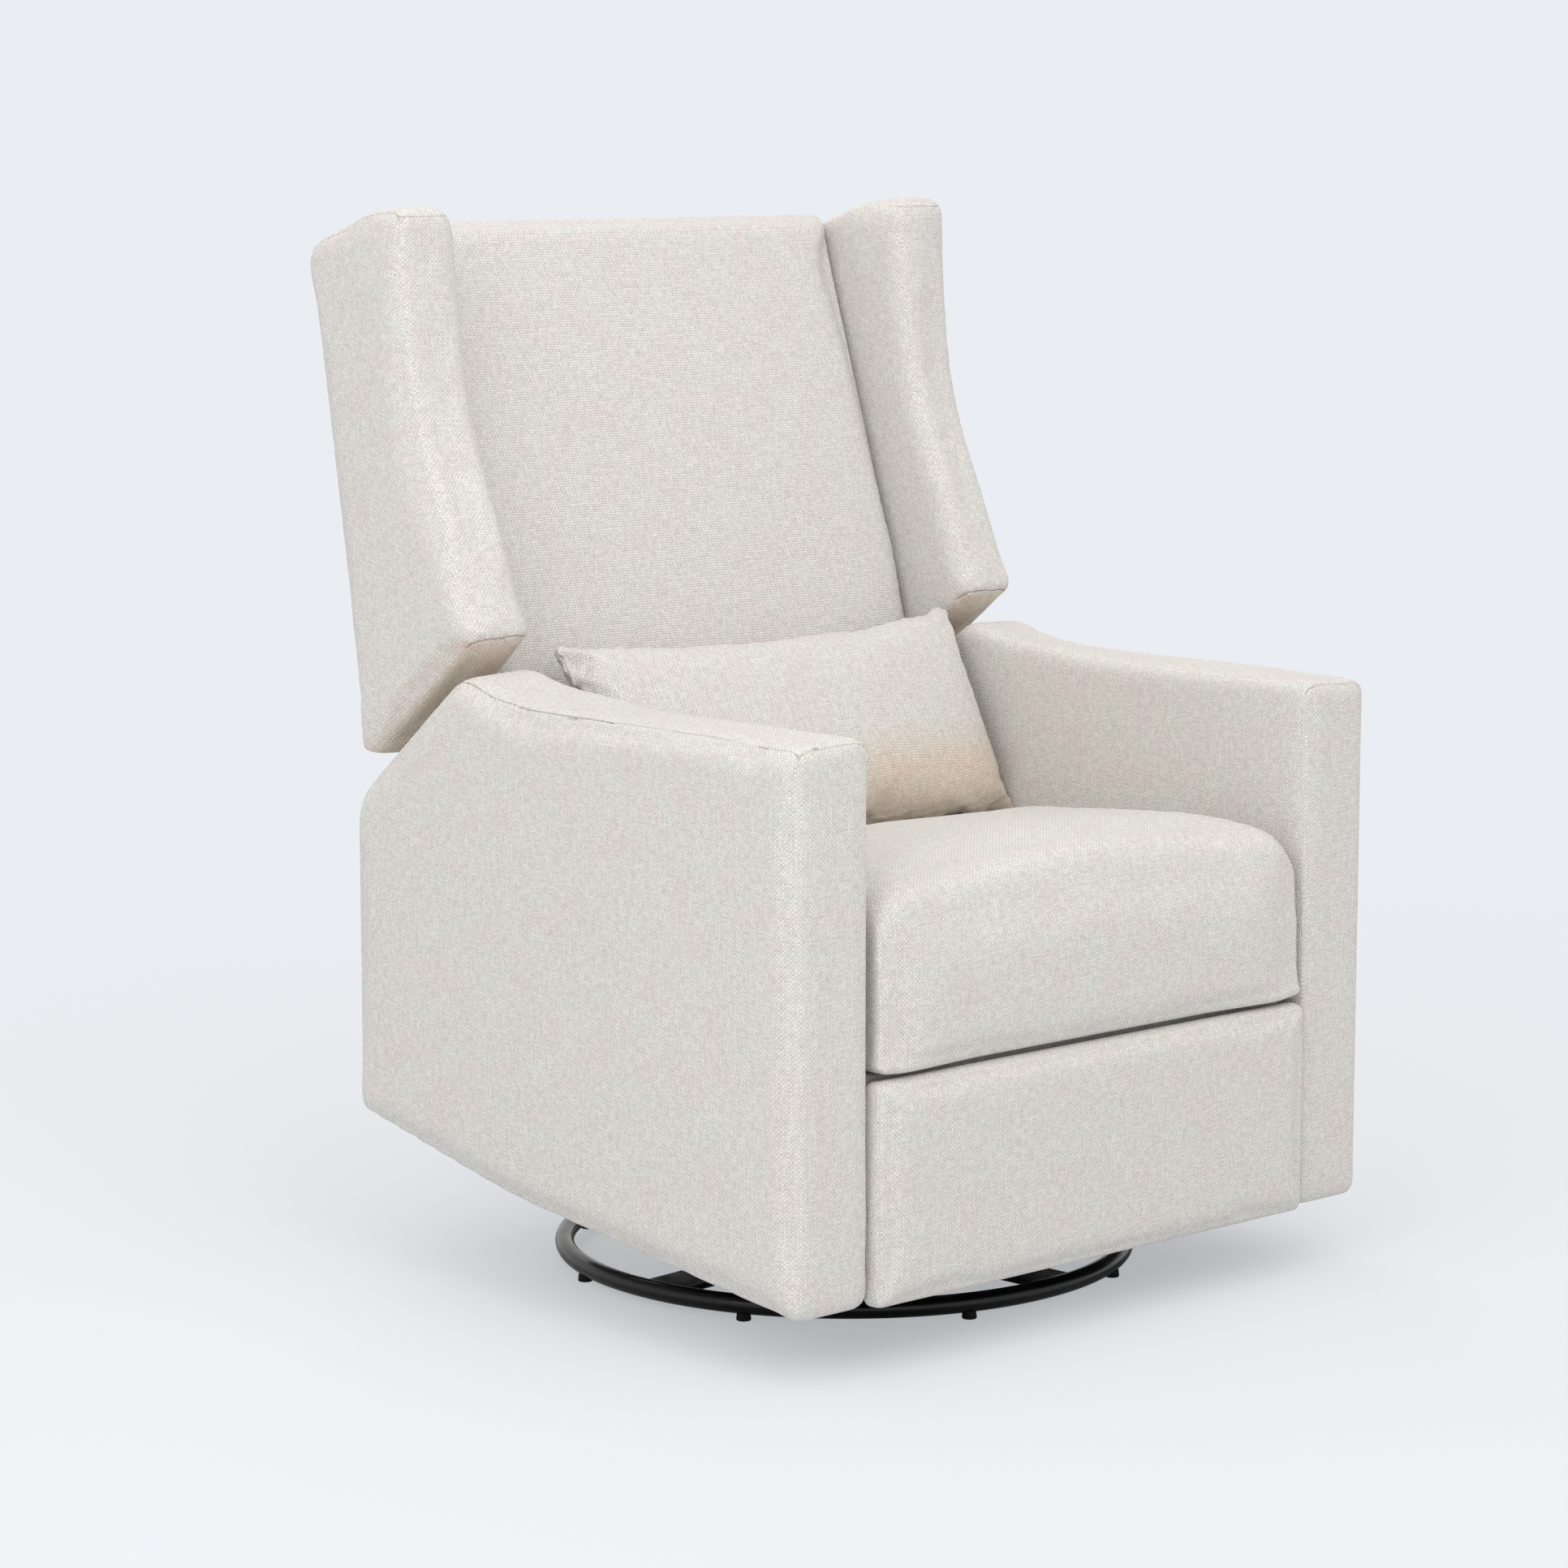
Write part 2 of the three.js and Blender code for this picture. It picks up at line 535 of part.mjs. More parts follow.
const body = assembly(frontLinks);
const tubeMargin = CROSS_TUBE_RADIUS + 5;
const frontTube = [FRONT_CROSS_TUBE_Y, CROSS_TUBE_Z];
const rearTube = [REAR_CROSS_TUBE_Y, CROSS_TUBE_Z];
const linkMargin = GLIDE_LINK_WIDTH / 2;

// Carriage plate: hangs on the lower rivets and is welded to the cross tubes.
const carriageShape = outline([
  [GLIDE_FRONT_Y - linkMargin, GLIDE_LOWER_Z - linkMargin, 12],
  [GLIDE_REAR_Y + linkMargin, GLIDE_LOWER_Z - linkMargin, 12],
  [GLIDE_REAR_Y + linkMargin, GLIDE_LOWER_Z + 2 * linkMargin, 20],
  [REAR_CROSS_TUBE_Y + tubeMargin, CROSS_TUBE_Z + tubeMargin, 14],
  [FRONT_CROSS_TUBE_Y - tubeMargin, CROSS_TUBE_Z + tubeMargin, 14],
  [GLIDE_FRONT_Y - linkMargin, GLIDE_LOWER_Z + 2 * linkMargin, 20],
]);
const windowRadius = (CROSS_TUBE_Z - GLIDE_LOWER_Z) / 4.2;
const windowZ = (CROSS_TUBE_Z + GLIDE_LOWER_Z) / 2;
const plateMiddle = (FRONT_CROSS_TUBE_Y + REAR_CROSS_TUBE_Y) / 2;
carriageShape.holes.push(
  hole([GLIDE_FRONT_Y, GLIDE_LOWER_Z], GLIDE_PIN_RADIUS + FIT),
  hole([GLIDE_REAR_Y, GLIDE_LOWER_Z], GLIDE_PIN_RADIUS + FIT),
  hole(frontTube, CROSS_TUBE_RADIUS + FIT, 16),
  hole(rearTube, CROSS_TUBE_RADIUS + FIT, 16),
  hole([plateMiddle - 1.25 * windowRadius, windowZ], windowRadius, 20),
  hole([plateMiddle + 1.25 * windowRadius, windowZ], windowRadius, 20));
addPair(body, 'carriage_plate', sidePlate(carriageShape, STAND_PLATE, CARRIAGE_X), blackSteel);

const tubeHalf = laneX(0) - FIT;
add(body, 'front_cross_tube',
  crossTube(frontTube, tubeHalf, CROSS_TUBE_RADIUS, CROSS_TUBE_WALL), zincSteel());
add(body, 'rear_cross_tube',
  crossTube(rearTube, tubeHalf, CROSS_TUBE_RADIUS, CROSS_TUBE_WALL), zincSteel());

// Mechanism plate: a pressing on the arm's inner face. It holds the footrest's two fixed
// pivots in front, the cross tubes in the middle and the back's pivot on a rear horn.
const hornWidth = 42;
const plateLow = CROSS_TUBE_Z - 1.6 * CROSS_TUBE_RADIUS;
const plateHigh = SEAT_RAIL_TOP_Z - 4;
const mechanismShape = outline([
  [LIFT_PIVOT[0] - 16, LIFT_PIVOT[1] - 18, 14], [FRONT_CROSS_TUBE_Y - 30, plateLow, 40],
  [REAR_CROSS_TUBE_Y + 20, plateLow, 30], [BACK_PIVOT[0] - hornWidth / 5, BACK_PIVOT[1] - 75, 40],
  [BACK_PIVOT[0] + hornWidth / 2, BACK_PIVOT[1] - 30, 20],
  [BACK_PIVOT[0] + hornWidth / 2, BACK_PIVOT[1] + hornWidth / 2, 18],
  [BACK_PIVOT[0] - hornWidth / 2, BACK_PIVOT[1] + hornWidth / 2, 18],
  [BACK_PIVOT[0] - 2 * hornWidth, plateHigh, 50], [LIFT_PIVOT[0] - 16, plateHigh, 12],
]);
mechanismShape.holes.push(
  hole(LIFT_PIVOT, LINK_PIN_RADIUS + FIT),
  hole(STAY_PIVOT, LINK_PIN_RADIUS + FIT),
  hole(BACK_PIVOT, GLIDE_PIN_RADIUS + FIT),
  ...[1, 2, 3].map((i) => hole(
    [FRONT_CROSS_TUBE_Y + (REAR_CROSS_TUBE_Y - FRONT_CROSS_TUBE_Y) * i / 4,
      (plateLow + plateHigh) / 2], PLATE_HOLE_RADIUS)));
addPair(body, 'mechanism_plate', sidePlate(mechanismShape, PLATE, laneX(0)), zincSteel);

// ---------------------------------------------------------------- footrest linkage

// Pins reach from the link's middle plane into the neighbour's plate.
const laneMiddle = (lane) => laneX(lane) + PLATE / 2;
const liftLinks = assembly(body);
addPair(liftLinks, 'lift_link', joined(
  sidePlate(barShape(LIFT_PIVOT, LIFT_END, LIFT_LINK_WIDTH), PLATE, laneX(1), 4),
  pin(LIFT_PIVOT, laneMiddle(1), laneX(0) + PLATE - FIT, LINK_PIN_RADIUS),
  pin(LIFT_END, laneX(2) - LANE_GAP / 2, laneMiddle(1), LINK_PIN_RADIUS),
  pin(FOLLOWER_PIVOT, laneX(2) - LANE_GAP / 2, laneMiddle(1), LINK_PIN_RADIUS)), zincSteel);
add(liftLinks, 'lift_torque_tube',
  crossTube(LIFT_PIVOT, laneX(1) - FIT, TORQUE_TUBE_RADIUS, TORQUE_TUBE_WALL), zincSteel());

const stays = assembly(body);
addPair(stays, 'stay_link', joined(
  sidePlate(barShape(STAY_PIVOT, STAY_END, STAY_WIDTH), PLATE, laneX(3), 4),
  pin(STAY_PIVOT, laneMiddle(3), laneX(0) + PLATE - FIT, LINK_PIN_RADIUS),
  pin(STAY_END, laneMiddle(3), laneX(2) + PLATE + LANE_GAP / 2, LINK_PIN_RADIUS)), zincSteel);

// Carrier: a bent link through the stay, the lift link and the footrest bracket.
const linkHole = (place, lane) =>
  pin(place, laneX(lane) - LANE_GAP, laneX(lane) + PLATE + LANE_GAP, LINK_PIN_RADIUS + FIT);
const carriers = assembly(liftLinks);
const carrierBlank = joined(
  sidePlate(barShape(STAY_END, LIFT_END, CARRIER_WIDTH), PLATE, laneX(2), 4),
  sidePlate(barShape(LIFT_END, FOOTREST_PIVOT, CARRIER_WIDTH), PLATE, laneX(2), 4));
addPair(carriers, 'carrier_link', cut(carrierBlank,
  linkHole(STAY_END, 2), linkHole(LIFT_END, 2), linkHole(FOOTREST_PIVOT, 2)), zincSteel);

const followers = assembly(liftLinks);
addPair(followers, 'follower_link', cut(
  sidePlate(barShape(FOLLOWER_PIVOT, FOLLOWER_END, FOLLOWER_WIDTH), PLATE, laneX(2), 4),
  linkHole(FOLLOWER_PIVOT, 2), linkHole(FOLLOWER_END, 2)), zincSteel);

// Footrest: pad on a board, hung on two brackets.
const footrest = assembly(carriers);
const padRear = FOOTREST_FRONT_Y + FOOTREST_PAD_THICKNESS;
const boardFront = padRear + FIT;
const boardRear = boardFront + FOOTREST_BOARD_THICKNESS;
const flangeFront = boardRear + FIT;
const padHalf = INSIDE - FOOTREST_SIDE_GAP;
const boardHalf = padHalf - FOOTREST_BOARD_INSET;
add(footrest, 'footrest_pad', softBlock(
  [-padHalf, padHalf], [FOOTREST_FRONT_Y, padRear], [FOOTREST_BOTTOM_Z, FOOTREST_TOP_Z],
  9, 2), cloth());
add(footrest, 'footrest_board', block(
  [-boardHalf, boardHalf], [boardFront, boardRear],
  [FOOTREST_BOTTOM_Z + FOOTREST_BOARD_INSET, FOOTREST_TOP_Z - FOOTREST_BOARD_INSET]), timber());

const bracketHalf = LIFT_LINK_WIDTH / 2;
const flangeMiddle = (FOOTREST_PIVOT[1] + FOLLOWER_END[1]) / 2;
const flangeLow = flangeMiddle - FOOTREST_FLANGE_HEIGHT / 2;
const flangeHigh = flangeMiddle + FOOTREST_FLANGE_HEIGHT / 2;
const bracketShape = outline([
  [flangeFront, flangeLow, 2], [flangeFront + PLATE, flangeLow, 2],
  [FOOTREST_PIVOT[0] + bracketHalf, FOOTREST_PIVOT[1] - bracketHalf, bracketHalf],
  [FOOTREST_PIVOT[0] + bracketHalf, FOOTREST_PIVOT[1] + bracketHalf, bracketHalf],
  [FOLLOWER_END[0] + bracketHalf, FOLLOWER_END[1] + bracketHalf, bracketHalf],
  [flangeFront, flangeHigh, 2],
]);
addPair(footrest, 'footrest_bracket', joined(
  sidePlate(bracketShape, PLATE, laneX(3)),
  block([laneX(3) - FOOTREST_FLANGE_WIDTH, laneX(3) + PLATE], [flangeFront, flangeFront + PLATE],
    [flangeLow + 2, flangeHigh - 2]),
  pin(FOOTREST_PIVOT, laneMiddle(3), laneX(2) + PLATE + LANE_GAP / 2, LINK_PIN_RADIUS),
  pin(FOLLOWER_END, laneMiddle(3), laneX(2) + PLATE + LANE_GAP / 2, LINK_PIN_RADIUS)), zincSteel);

// ---------------------------------------------------------------- seat frame and springs

const railLow = SEAT_RAIL_TOP_Z - SEAT_RAIL_HEIGHT;
const sideRailFront = SEAT_FRAME_FRONT_Y + SEAT_RAIL_WIDTH + FIT;
const sideRailRear = SEAT_FRAME_REAR_Y - SEAT_RAIL_WIDTH - FIT;
add(body, 'front_seat_rail', block(
  [-SEAT_FRAME_HALF_WIDTH, SEAT_FRAME_HALF_WIDTH],
  [SEAT_FRAME_FRONT_Y, SEAT_FRAME_FRONT_Y + SEAT_RAIL_WIDTH], [railLow, SEAT_RAIL_TOP_Z]), timber());
add(body, 'rear_seat_rail', block(
  [-SEAT_FRAME_HALF_WIDTH, SEAT_FRAME_HALF_WIDTH],
  [SEAT_FRAME_REAR_Y - SEAT_RAIL_WIDTH, SEAT_FRAME_REAR_Y], [railLow, SEAT_RAIL_TOP_Z]), timber());
const sideRailInside = SEAT_FRAME_HALF_WIDTH - SEAT_SIDE_RAIL_WIDTH;
addPair(body, 'side_seat_rail', cut(
  block([sideRailInside, SEAT_FRAME_HALF_WIDTH], [sideRailFront, sideRailRear],
    [CROSS_TUBE_Z + CROSS_TUBE_RADIUS + FIT, SEAT_RAIL_TOP_Z]),
  pin(LIFT_PIVOT, sideRailInside - 1, SEAT_FRAME_HALF_WIDTH + 1,
    TORQUE_TUBE_RADIUS + TORQUE_TUBE_CLEARANCE)), timber);

// Sinuous springs: each a wire that swings from side to side from rail to rail, and two
// tie wires that hold them at their spacing.
const springPitch = 2 * sideRailInside / SPRING_COUNT;
const springZ = SEAT_RAIL_TOP_Z + SPRING_WIRE_RADIUS + FIT;
const springFront = SEAT_FRAME_FRONT_Y + SEAT_RAIL_WIDTH / 2;
const springRear = SEAT_FRAME_REAR_Y - SEAT_RAIL_WIDTH / 2;
const wireSection = (radius, sides) => new THREE.Shape(
  Array.from({ length: sides }, (_, i) => new THREE.Vector2(
    radius * Math.cos(2 * Math.PI * i / sides), radius * Math.sin(2 * Math.PI * i / sides))));

class SinuousCurve extends THREE.Curve {
  constructor(x) {
    super();
    this.x = x;
  }

  getPoint(t, target = new THREE.Vector3()) {
    return target.set(
      this.x + SPRING_SWING * Math.sin(2 * Math.PI * SPRING_WAVES * t),
      springFront + (springRear - springFront) * t,
      springZ + SPRING_ARCH * Math.sin(Math.PI * t));
  }
}

const springs = Array.from({ length: SPRING_COUNT }, (_, i) => new THREE.ExtrudeGeometry(
  wireSection(SPRING_WIRE_RADIUS, 4), {
    extrudePath: new SinuousCurve((i - (SPRING_COUNT - 1) / 2) * springPitch),
    steps: 5 * SPRING_WAVES,
    bevelEnabled: false,
  }));
const tieHalf = (SPRING_COUNT - 1) / 2 * springPitch;
const tieWires = [1 / 3, 2 / 3].map((share) => pin(
  [springFront + (springRear - springFront) * share,
    springZ + SPRING_ARCH * Math.sin(Math.PI * share)],
  -tieHalf, tieHalf, TIE_WIRE_RADIUS, 5));
add(body, 'seat_spring_unit', joined(...springs, ...tieWires), zincSteel());

// ---------------------------------------------------------------- seat cushion

// The top is crowned from side to side, most in front, and falls towards the back.
const cushionHalf = INSIDE - CUSHION_SIDE_GAP;
add(body, 'seat_cushion', softBlock(
  [-cushionHalf, cushionHalf], [CUSHION_FRONT_Y, CUSHION_REAR_Y], [CUSHION_BOTTOM_Z, CUSHION_TOP_Z],
  CUSHION_EDGE_RADIUS, 4, (point) => {
    const across = 1 - (point.x / cushionHalf) ** 2;
    const back = THREE.MathUtils.clamp(
      (point.y - CUSHION_FRONT_Y) / (CUSHION_REAR_Y - CUSHION_FRONT_Y), 0, 1);
    const crown = THREE.MathUtils.lerp(CUSHION_FRONT_CROWN, CUSHION_REAR_CROWN, back);
    const rise = (point.z - CUSHION_BOTTOM_Z) / (CUSHION_TOP_Z - CUSHION_BOTTOM_Z);
    point.z += rise * rise * (crown * across - CUSHION_REAR_DROP * back * back);
  }), cloth());

// ---------------------------------------------------------------- arms and rear panel

const armCorner = ARM_EDGE_RADIUS + 2;
const armShape = outline([
  [ARM_FRONT_Y, ARM_FRONT_BOTTOM_Z, armCorner],
  [...ARM_KNEE, ARM_KNEE_RADIUS],
  [ARM_REAR_Y, ARM_REAR_BOTTOM_Z, armCorner],
  [ARM_REAR_Y, ARM_SHOULDER_Z, ARM_SHOULDER_RADIUS],
  [ARM_PEAK_Y, ARM_PEAK_Z, 3 * armCorner],
  [ARM_PEAK_Y - ARM_SLOPE_LENGTH, ARM_TOP_Z, ARM_SLOPE_RADIUS],
  [ARM_FRONT_Y, ARM_TOP_Z + ARM_FRONT_RISE, armCorner],
]);
addPair(body, 'arm', sidePad(armShape, ARM_WIDTH, INSIDE, ARM_EDGE_RADIUS), cloth);

const panelInner = ARM_REAR_Y - REAR_PANEL_THICKNESS;
const panelCorner = REAR_PANEL_THICKNESS / 3;
add(body, 'rear_panel', sidePad(outline([
  [panelInner, ARM_REAR_BOTTOM_Z, panelCorner],
  [ARM_REAR_Y, ARM_REAR_BOTTOM_Z, panelCorner],
  [ARM_REAR_Y, REAR_PANEL_TOP_Z, panelCorner],
  [panelInner, REAR_PANEL_TOP_Z, panelCorner],
]), 2 * (INSIDE - FIT), FIT - INSIDE, 0.6 * panelCorner), cloth());

// ---------------------------------------------------------------- winged back

const back = assembly(body);
const frameBand = (low, high) => outline([
  [rearY(low, FRAME_SET_BACK), low], [rearY(low, OUTSIDE_BACK_INSET + FIT), low],
  [rearY(high, OUTSIDE_BACK_INSET + FIT), high], [rearY(high, FRAME_SET_BACK), high],
]);
const stileLow = BACK_REAR_LOW[1] + 4;
const stileHigh = OUTSIDE_BACK_TOP_Z - 8;
addPair(back, 'back_stile', sidePlate(
  frameBand(stileLow, stileHigh), STILE_WIDTH, STILE_OUTSIDE - STILE_WIDTH), timber);
const railSpan = STILE_OUTSIDE - STILE_WIDTH - FIT;
add(back, 'back_lower_rail', sidePlate(
  frameBand(BACK_LOWER_RAIL_Z, BACK_LOWER_RAIL_Z + BACK_RAIL_HEIGHT), 2 * railSpan, -railSpan), timber());
add(back, 'back_upper_rail', sidePlate(
  frameBand(BACK_UPPER_RAIL_Z, BACK_UPPER_RAIL_Z + BACK_RAIL_HEIGHT), 2 * railSpan, -railSpan), timber());

// Hinge bracket: bolted to the stile's outer face, with the pin that turns in the
// mechanism plate's rear horn.
const bracketWidth = 34;
const bracketZ = BACK_PIVOT[1] + 0.35 * (BACK_BRACKET_TOP_Z - BACK_PIVOT[1]);
const hingeShape = outline([
  [BACK_PIVOT[0] - bracketWidth / 2, BACK_PIVOT[1] - bracketWidth / 2, bracketWidth / 2],
  [BACK_PIVOT[0] + bracketWidth / 2, BACK_PIVOT[1] - bracketWidth / 2, bracketWidth / 2],
  [rearY(bracketZ, OUTSIDE_BACK_INSET + 2), bracketZ, 20],
  [rearY(BACK_BRACKET_TOP_Z, OUTSIDE_BACK_INSET + 2), BACK_BRACKET_TOP_Z, 4],
  [rearY(BACK_BRACKET_TOP_Z, FRAME_SET_BACK), BACK_BRACKET_TOP_Z, 4],
  [rearY(bracketZ, FRAME_SET_BACK + 4), bracketZ, 30],
]);
addPair(back, 'hinge_bracket', joined(
  sidePlate(hingeShape, PLATE, laneX(1)),
  pin(BACK_PIVOT, laneMiddle(1), laneX(0) + PLATE - FIT, GLIDE_PIN_RADIUS)), zincSteel);

// Back cushion: in front of the frame, with a roll over its top. Between the arms it is
// narrower, to clear the hinge brackets and the mechanism plates' rear horns.
const cushionSetBack = FRAME_SET_BACK + FIT;
const rollLow = OUTSIDE_BACK_TOP_Z + FIT;
const backCorner = BACK_EDGE_RADIUS + 2;
const cushionShape = outline([
  [...BACK_FRONT_LOW, 1.6 * backCorner],
  [rearY(BACK_FRONT_LOW[1], cushionSetBack), BACK_FRONT_LOW[1], backCorner],
  [rearY(rollLow, cushionSetBack), rollLow],
  [rearY(rollLow, -OUTSIDE_BACK_PROUD), rollLow, backCorner],
  [...BACK_TOP_REAR, 1.15 * backCorner],
  [...BACK_FRONT_HIGH, 1.6 * backCorner],
]);
const shoulder = block(
  [laneX(1) - FIT, INSIDE + 1], [BACK_FRONT_LOW[0] - 20, BACK_REAR_HIGH[0]],
  [BACK_FRONT_LOW[1] - 20, BACK_BRACKET_TOP_Z + 8]);
add(back, 'back_cushion', cut(
  sidePad(cushionShape, 2 * (INSIDE - FIT), FIT - INSIDE, BACK_EDGE_RADIUS),
  shoulder, mirrored(shoulder)), cloth());

// Outside back: a thin padded panel behind the frame, bowed a little.
const outsideLow = BACK_REAR_LOW[1];
const outsideShape = new THREE.Shape();
outsideShape.moveTo(rearY(outsideLow, OUTSIDE_BACK_INSET), outsideLow);
outsideShape.lineTo(rearY(outsideLow), outsideLow);
outsideShape.quadraticCurveTo(
  rearY((outsideLow + OUTSIDE_BACK_TOP_Z) / 2, -2 * OUTSIDE_BACK_PROUD),
  (outsideLow + OUTSIDE_BACK_TOP_Z) / 2,
  rearY(OUTSIDE_BACK_TOP_Z, -OUTSIDE_BACK_PROUD), OUTSIDE_BACK_TOP_Z);
outsideShape.lineTo(rearY(OUTSIDE_BACK_TOP_Z, OUTSIDE_BACK_INSET), OUTSIDE_BACK_TOP_Z);
outsideShape.closePath();
add(back, 'outside_back', sidePlate(outsideShape, 2 * (INSIDE - FIT), FIT - INSIDE, 10), cloth());

// Wings: thick padded boards. The front edge hollows to its narrowest halfway up the
// head and flares out to a point over the arm, and the lower edge clears the arm.
const wingCorner = WING_EDGE_RADIUS + 2;
const wingShape = outline([
  [...WING_TIP, wingCorner],
  [...WING_HEEL, wingCorner],
  [rearY(WING_BOTTOM_Z), WING_BOTTOM_Z, wingCorner],
  [BACK_REAR_HIGH[0], BACK_REAR_HIGH[1] + WING_TOP_RISE, 2 * wingCorner],
  [...WING_TOP_MIDDLE, 9 * wingCorner],
  [...WING_TOP_FRONT, wingCorner],
  [...WING_HOLLOW, 30 * wingCorner],
]);
addPair(back, 'wing', sidePad(
  wingShape, WING_OUTSIDE - INSIDE, INSIDE, WING_EDGE_RADIUS), cloth);

// ---------------------------------------------------------------- loose pieces

// Lumbar pillow: a knife-edged cushion, thick in the middle and thin at its corners.
function pillow() {
  const cells = 10;
  const geometry = stripped(new THREE.BoxGeometry(2, 2, 2, cells, 1, cells));
  const places = geometry.attributes.position;
  for (let i = 0; i < places.count; i += 1) {
    const u = places.getX(i);
    const v = places.getZ(i);
    const face = places.getY(i);
    const fullness = (1 - Math.abs(u) ** 3) * (1 - Math.abs(v) ** 2.6);
    const half = PILLOW_EDGE / 2 + (PILLOW_THICKNESS - PILLOW_EDGE) / 2 * Math.sqrt(fullness);
    const waistU = 1 - 0.03 * (1 - v * v);
    const waistV = 1 - 0.05 * (1 - u * u);
    places.setXYZ(i, u * waistU * PILLOW_WIDTH / 2, face * half, v * waistV * PILLOW_HEIGHT / 2);
  }
  const middleX = INSIDE - PILLOW_ARM_GAP - PILLOW_WIDTH / 2;
  return geometry.rotateX(-radians(PILLOW_LEAN)).translate(middleX, PILLOW_Y, PILLOW_Z);
}
add(back, 'lumbar_pillow', pillow(), cloth());

export default chair;
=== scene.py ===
import math

import bmesh
import bpy
import numpy as np
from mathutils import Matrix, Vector


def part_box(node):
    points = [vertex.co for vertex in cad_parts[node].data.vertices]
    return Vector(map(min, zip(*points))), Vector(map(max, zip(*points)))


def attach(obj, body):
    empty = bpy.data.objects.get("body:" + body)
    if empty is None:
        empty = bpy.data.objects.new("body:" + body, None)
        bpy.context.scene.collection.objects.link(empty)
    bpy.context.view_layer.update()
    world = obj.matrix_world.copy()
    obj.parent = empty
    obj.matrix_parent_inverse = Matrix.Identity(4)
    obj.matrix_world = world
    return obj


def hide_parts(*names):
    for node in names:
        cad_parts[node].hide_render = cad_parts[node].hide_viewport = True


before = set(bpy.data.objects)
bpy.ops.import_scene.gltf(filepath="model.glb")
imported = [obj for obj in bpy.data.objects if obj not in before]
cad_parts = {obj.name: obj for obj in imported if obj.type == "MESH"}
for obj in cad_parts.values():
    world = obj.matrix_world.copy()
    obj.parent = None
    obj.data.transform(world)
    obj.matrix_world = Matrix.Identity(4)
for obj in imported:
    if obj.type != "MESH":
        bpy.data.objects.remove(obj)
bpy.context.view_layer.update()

# ---------------------------------------------------------------- studio
# A pale paper floor that runs out into an even pale surround, with four large soft
# boxes and an even white sky, so that the cloth shows its own colour.
VIEW_AZIMUTH = math.radians(-41.869)
VIEW_ELEVATION = math.radians(8.436)
VIEW_DISTANCE = 4.55
VIEW_AIM = Vector((-0.0672, -0.0033, 0.4858))
VIEW_LENS = 105
SURROUND = (0.823, 0.847, 0.888, 1)
FLOOR_RADIUS = 14
PAPER_RADIUS = 1.0
PAPER_FADE = 1.6
PAPER_GLOW = 0.5
SKY_STRENGTH = 0.82

lens = bpy.data.cameras.new("studio_lens")
lens.lens = VIEW_LENS
lens.sensor_width = 36
lens.clip_end = 100
camera = bpy.data.objects.new("studio_camera", lens)
bpy.context.collection.objects.link(camera)
outward = Vector((
    math.sin(VIEW_AZIMUTH) * math.cos(VIEW_ELEVATION),
    -math.cos(VIEW_AZIMUTH) * math.cos(VIEW_ELEVATION),
    math.sin(VIEW_ELEVATION)))
camera.location = VIEW_AIM + outward * VIEW_DISTANCE
camera.rotation_euler = (math.pi / 2 - VIEW_ELEVATION, 0, VIEW_AZIMUTH)
bpy.context.scene.camera = camera
bpy.context.scene.view_settings.view_transform = "Standard"


class Finish:
    """A node material under construction: named nodes, and sums written as calls."""

    def __init__(self, name):
        self.material = bpy.data.materials.new(name)
        self.material.use_nodes = True
        self.nodes = self.material.node_tree.nodes
        self.links = self.material.node_tree.links
        self.shader = self.nodes["Principled BSDF"]

    def put(self, value, socket):
        if isinstance(value, bpy.types.NodeSocket):
            self.links.new(value, socket)
        else:
            socket.default_value = value

    def add(self, kind, output=0, settings=None, **inputs):
        node = self.nodes.new(kind)
        for key, value in (settings or {}).items():
            setattr(node, key, value)
        for key, value in inputs.items():
            self.put(value, node.inputs[key.replace("_", " ")])
        return node.outputs[output]

    def sum(self, operation, *values):
        node = self.nodes.new("ShaderNodeMath")
        node.operation = operation
        for value, socket in zip(values, node.inputs):
            self.put(value, socket)
        return node.outputs[0]

    def mix(self, share, first, second, blend="MIX"):
        node = self.nodes.new("ShaderNodeMix")
        node.data_type = "RGBA"
        node.blend_type = blend
        for value, key in ((share, "Factor_Float"), (first, "A_Color"), (second, "B_Color")):
            self.put(value, next(s for s in node.inputs if s.identifier == key))
        return next(s for s in node.outputs if s.identifier == "Result_Color")

    def product(self, first, second):
        return self.mix(1.0, first, second, "MULTIPLY")

    def spread(self, value, low, high, to_low=0.0, to_high=1.0):
        node = self.nodes.new("ShaderNodeMapRange")
        node.interpolation_type = "SMOOTHSTEP"
        for key, number in (("Value", value), ("From Min", low), ("From Max", high),
                            ("To Min", to_low), ("To Max", to_high)):
            self.put(number, node.inputs[key])
        return node.outputs[0]

    def point(self, x, y, z=0.0):
        return self.add("ShaderNodeCombineXYZ", X=x, Y=y, Z=z)

    def noise(self, vector, scale, detail=2.0, roughness=0.5):
        return self.add("ShaderNodeTexNoise", Vector=vector, Scale=scale, Detail=detail,
                        Roughness=roughness)

    def bump(self, height, distance, strength=1.0):
        self.links.new(
            self.add("ShaderNodeBump", Height=height, Distance=distance, Strength=strength),
            self.shader.inputs["Normal"])


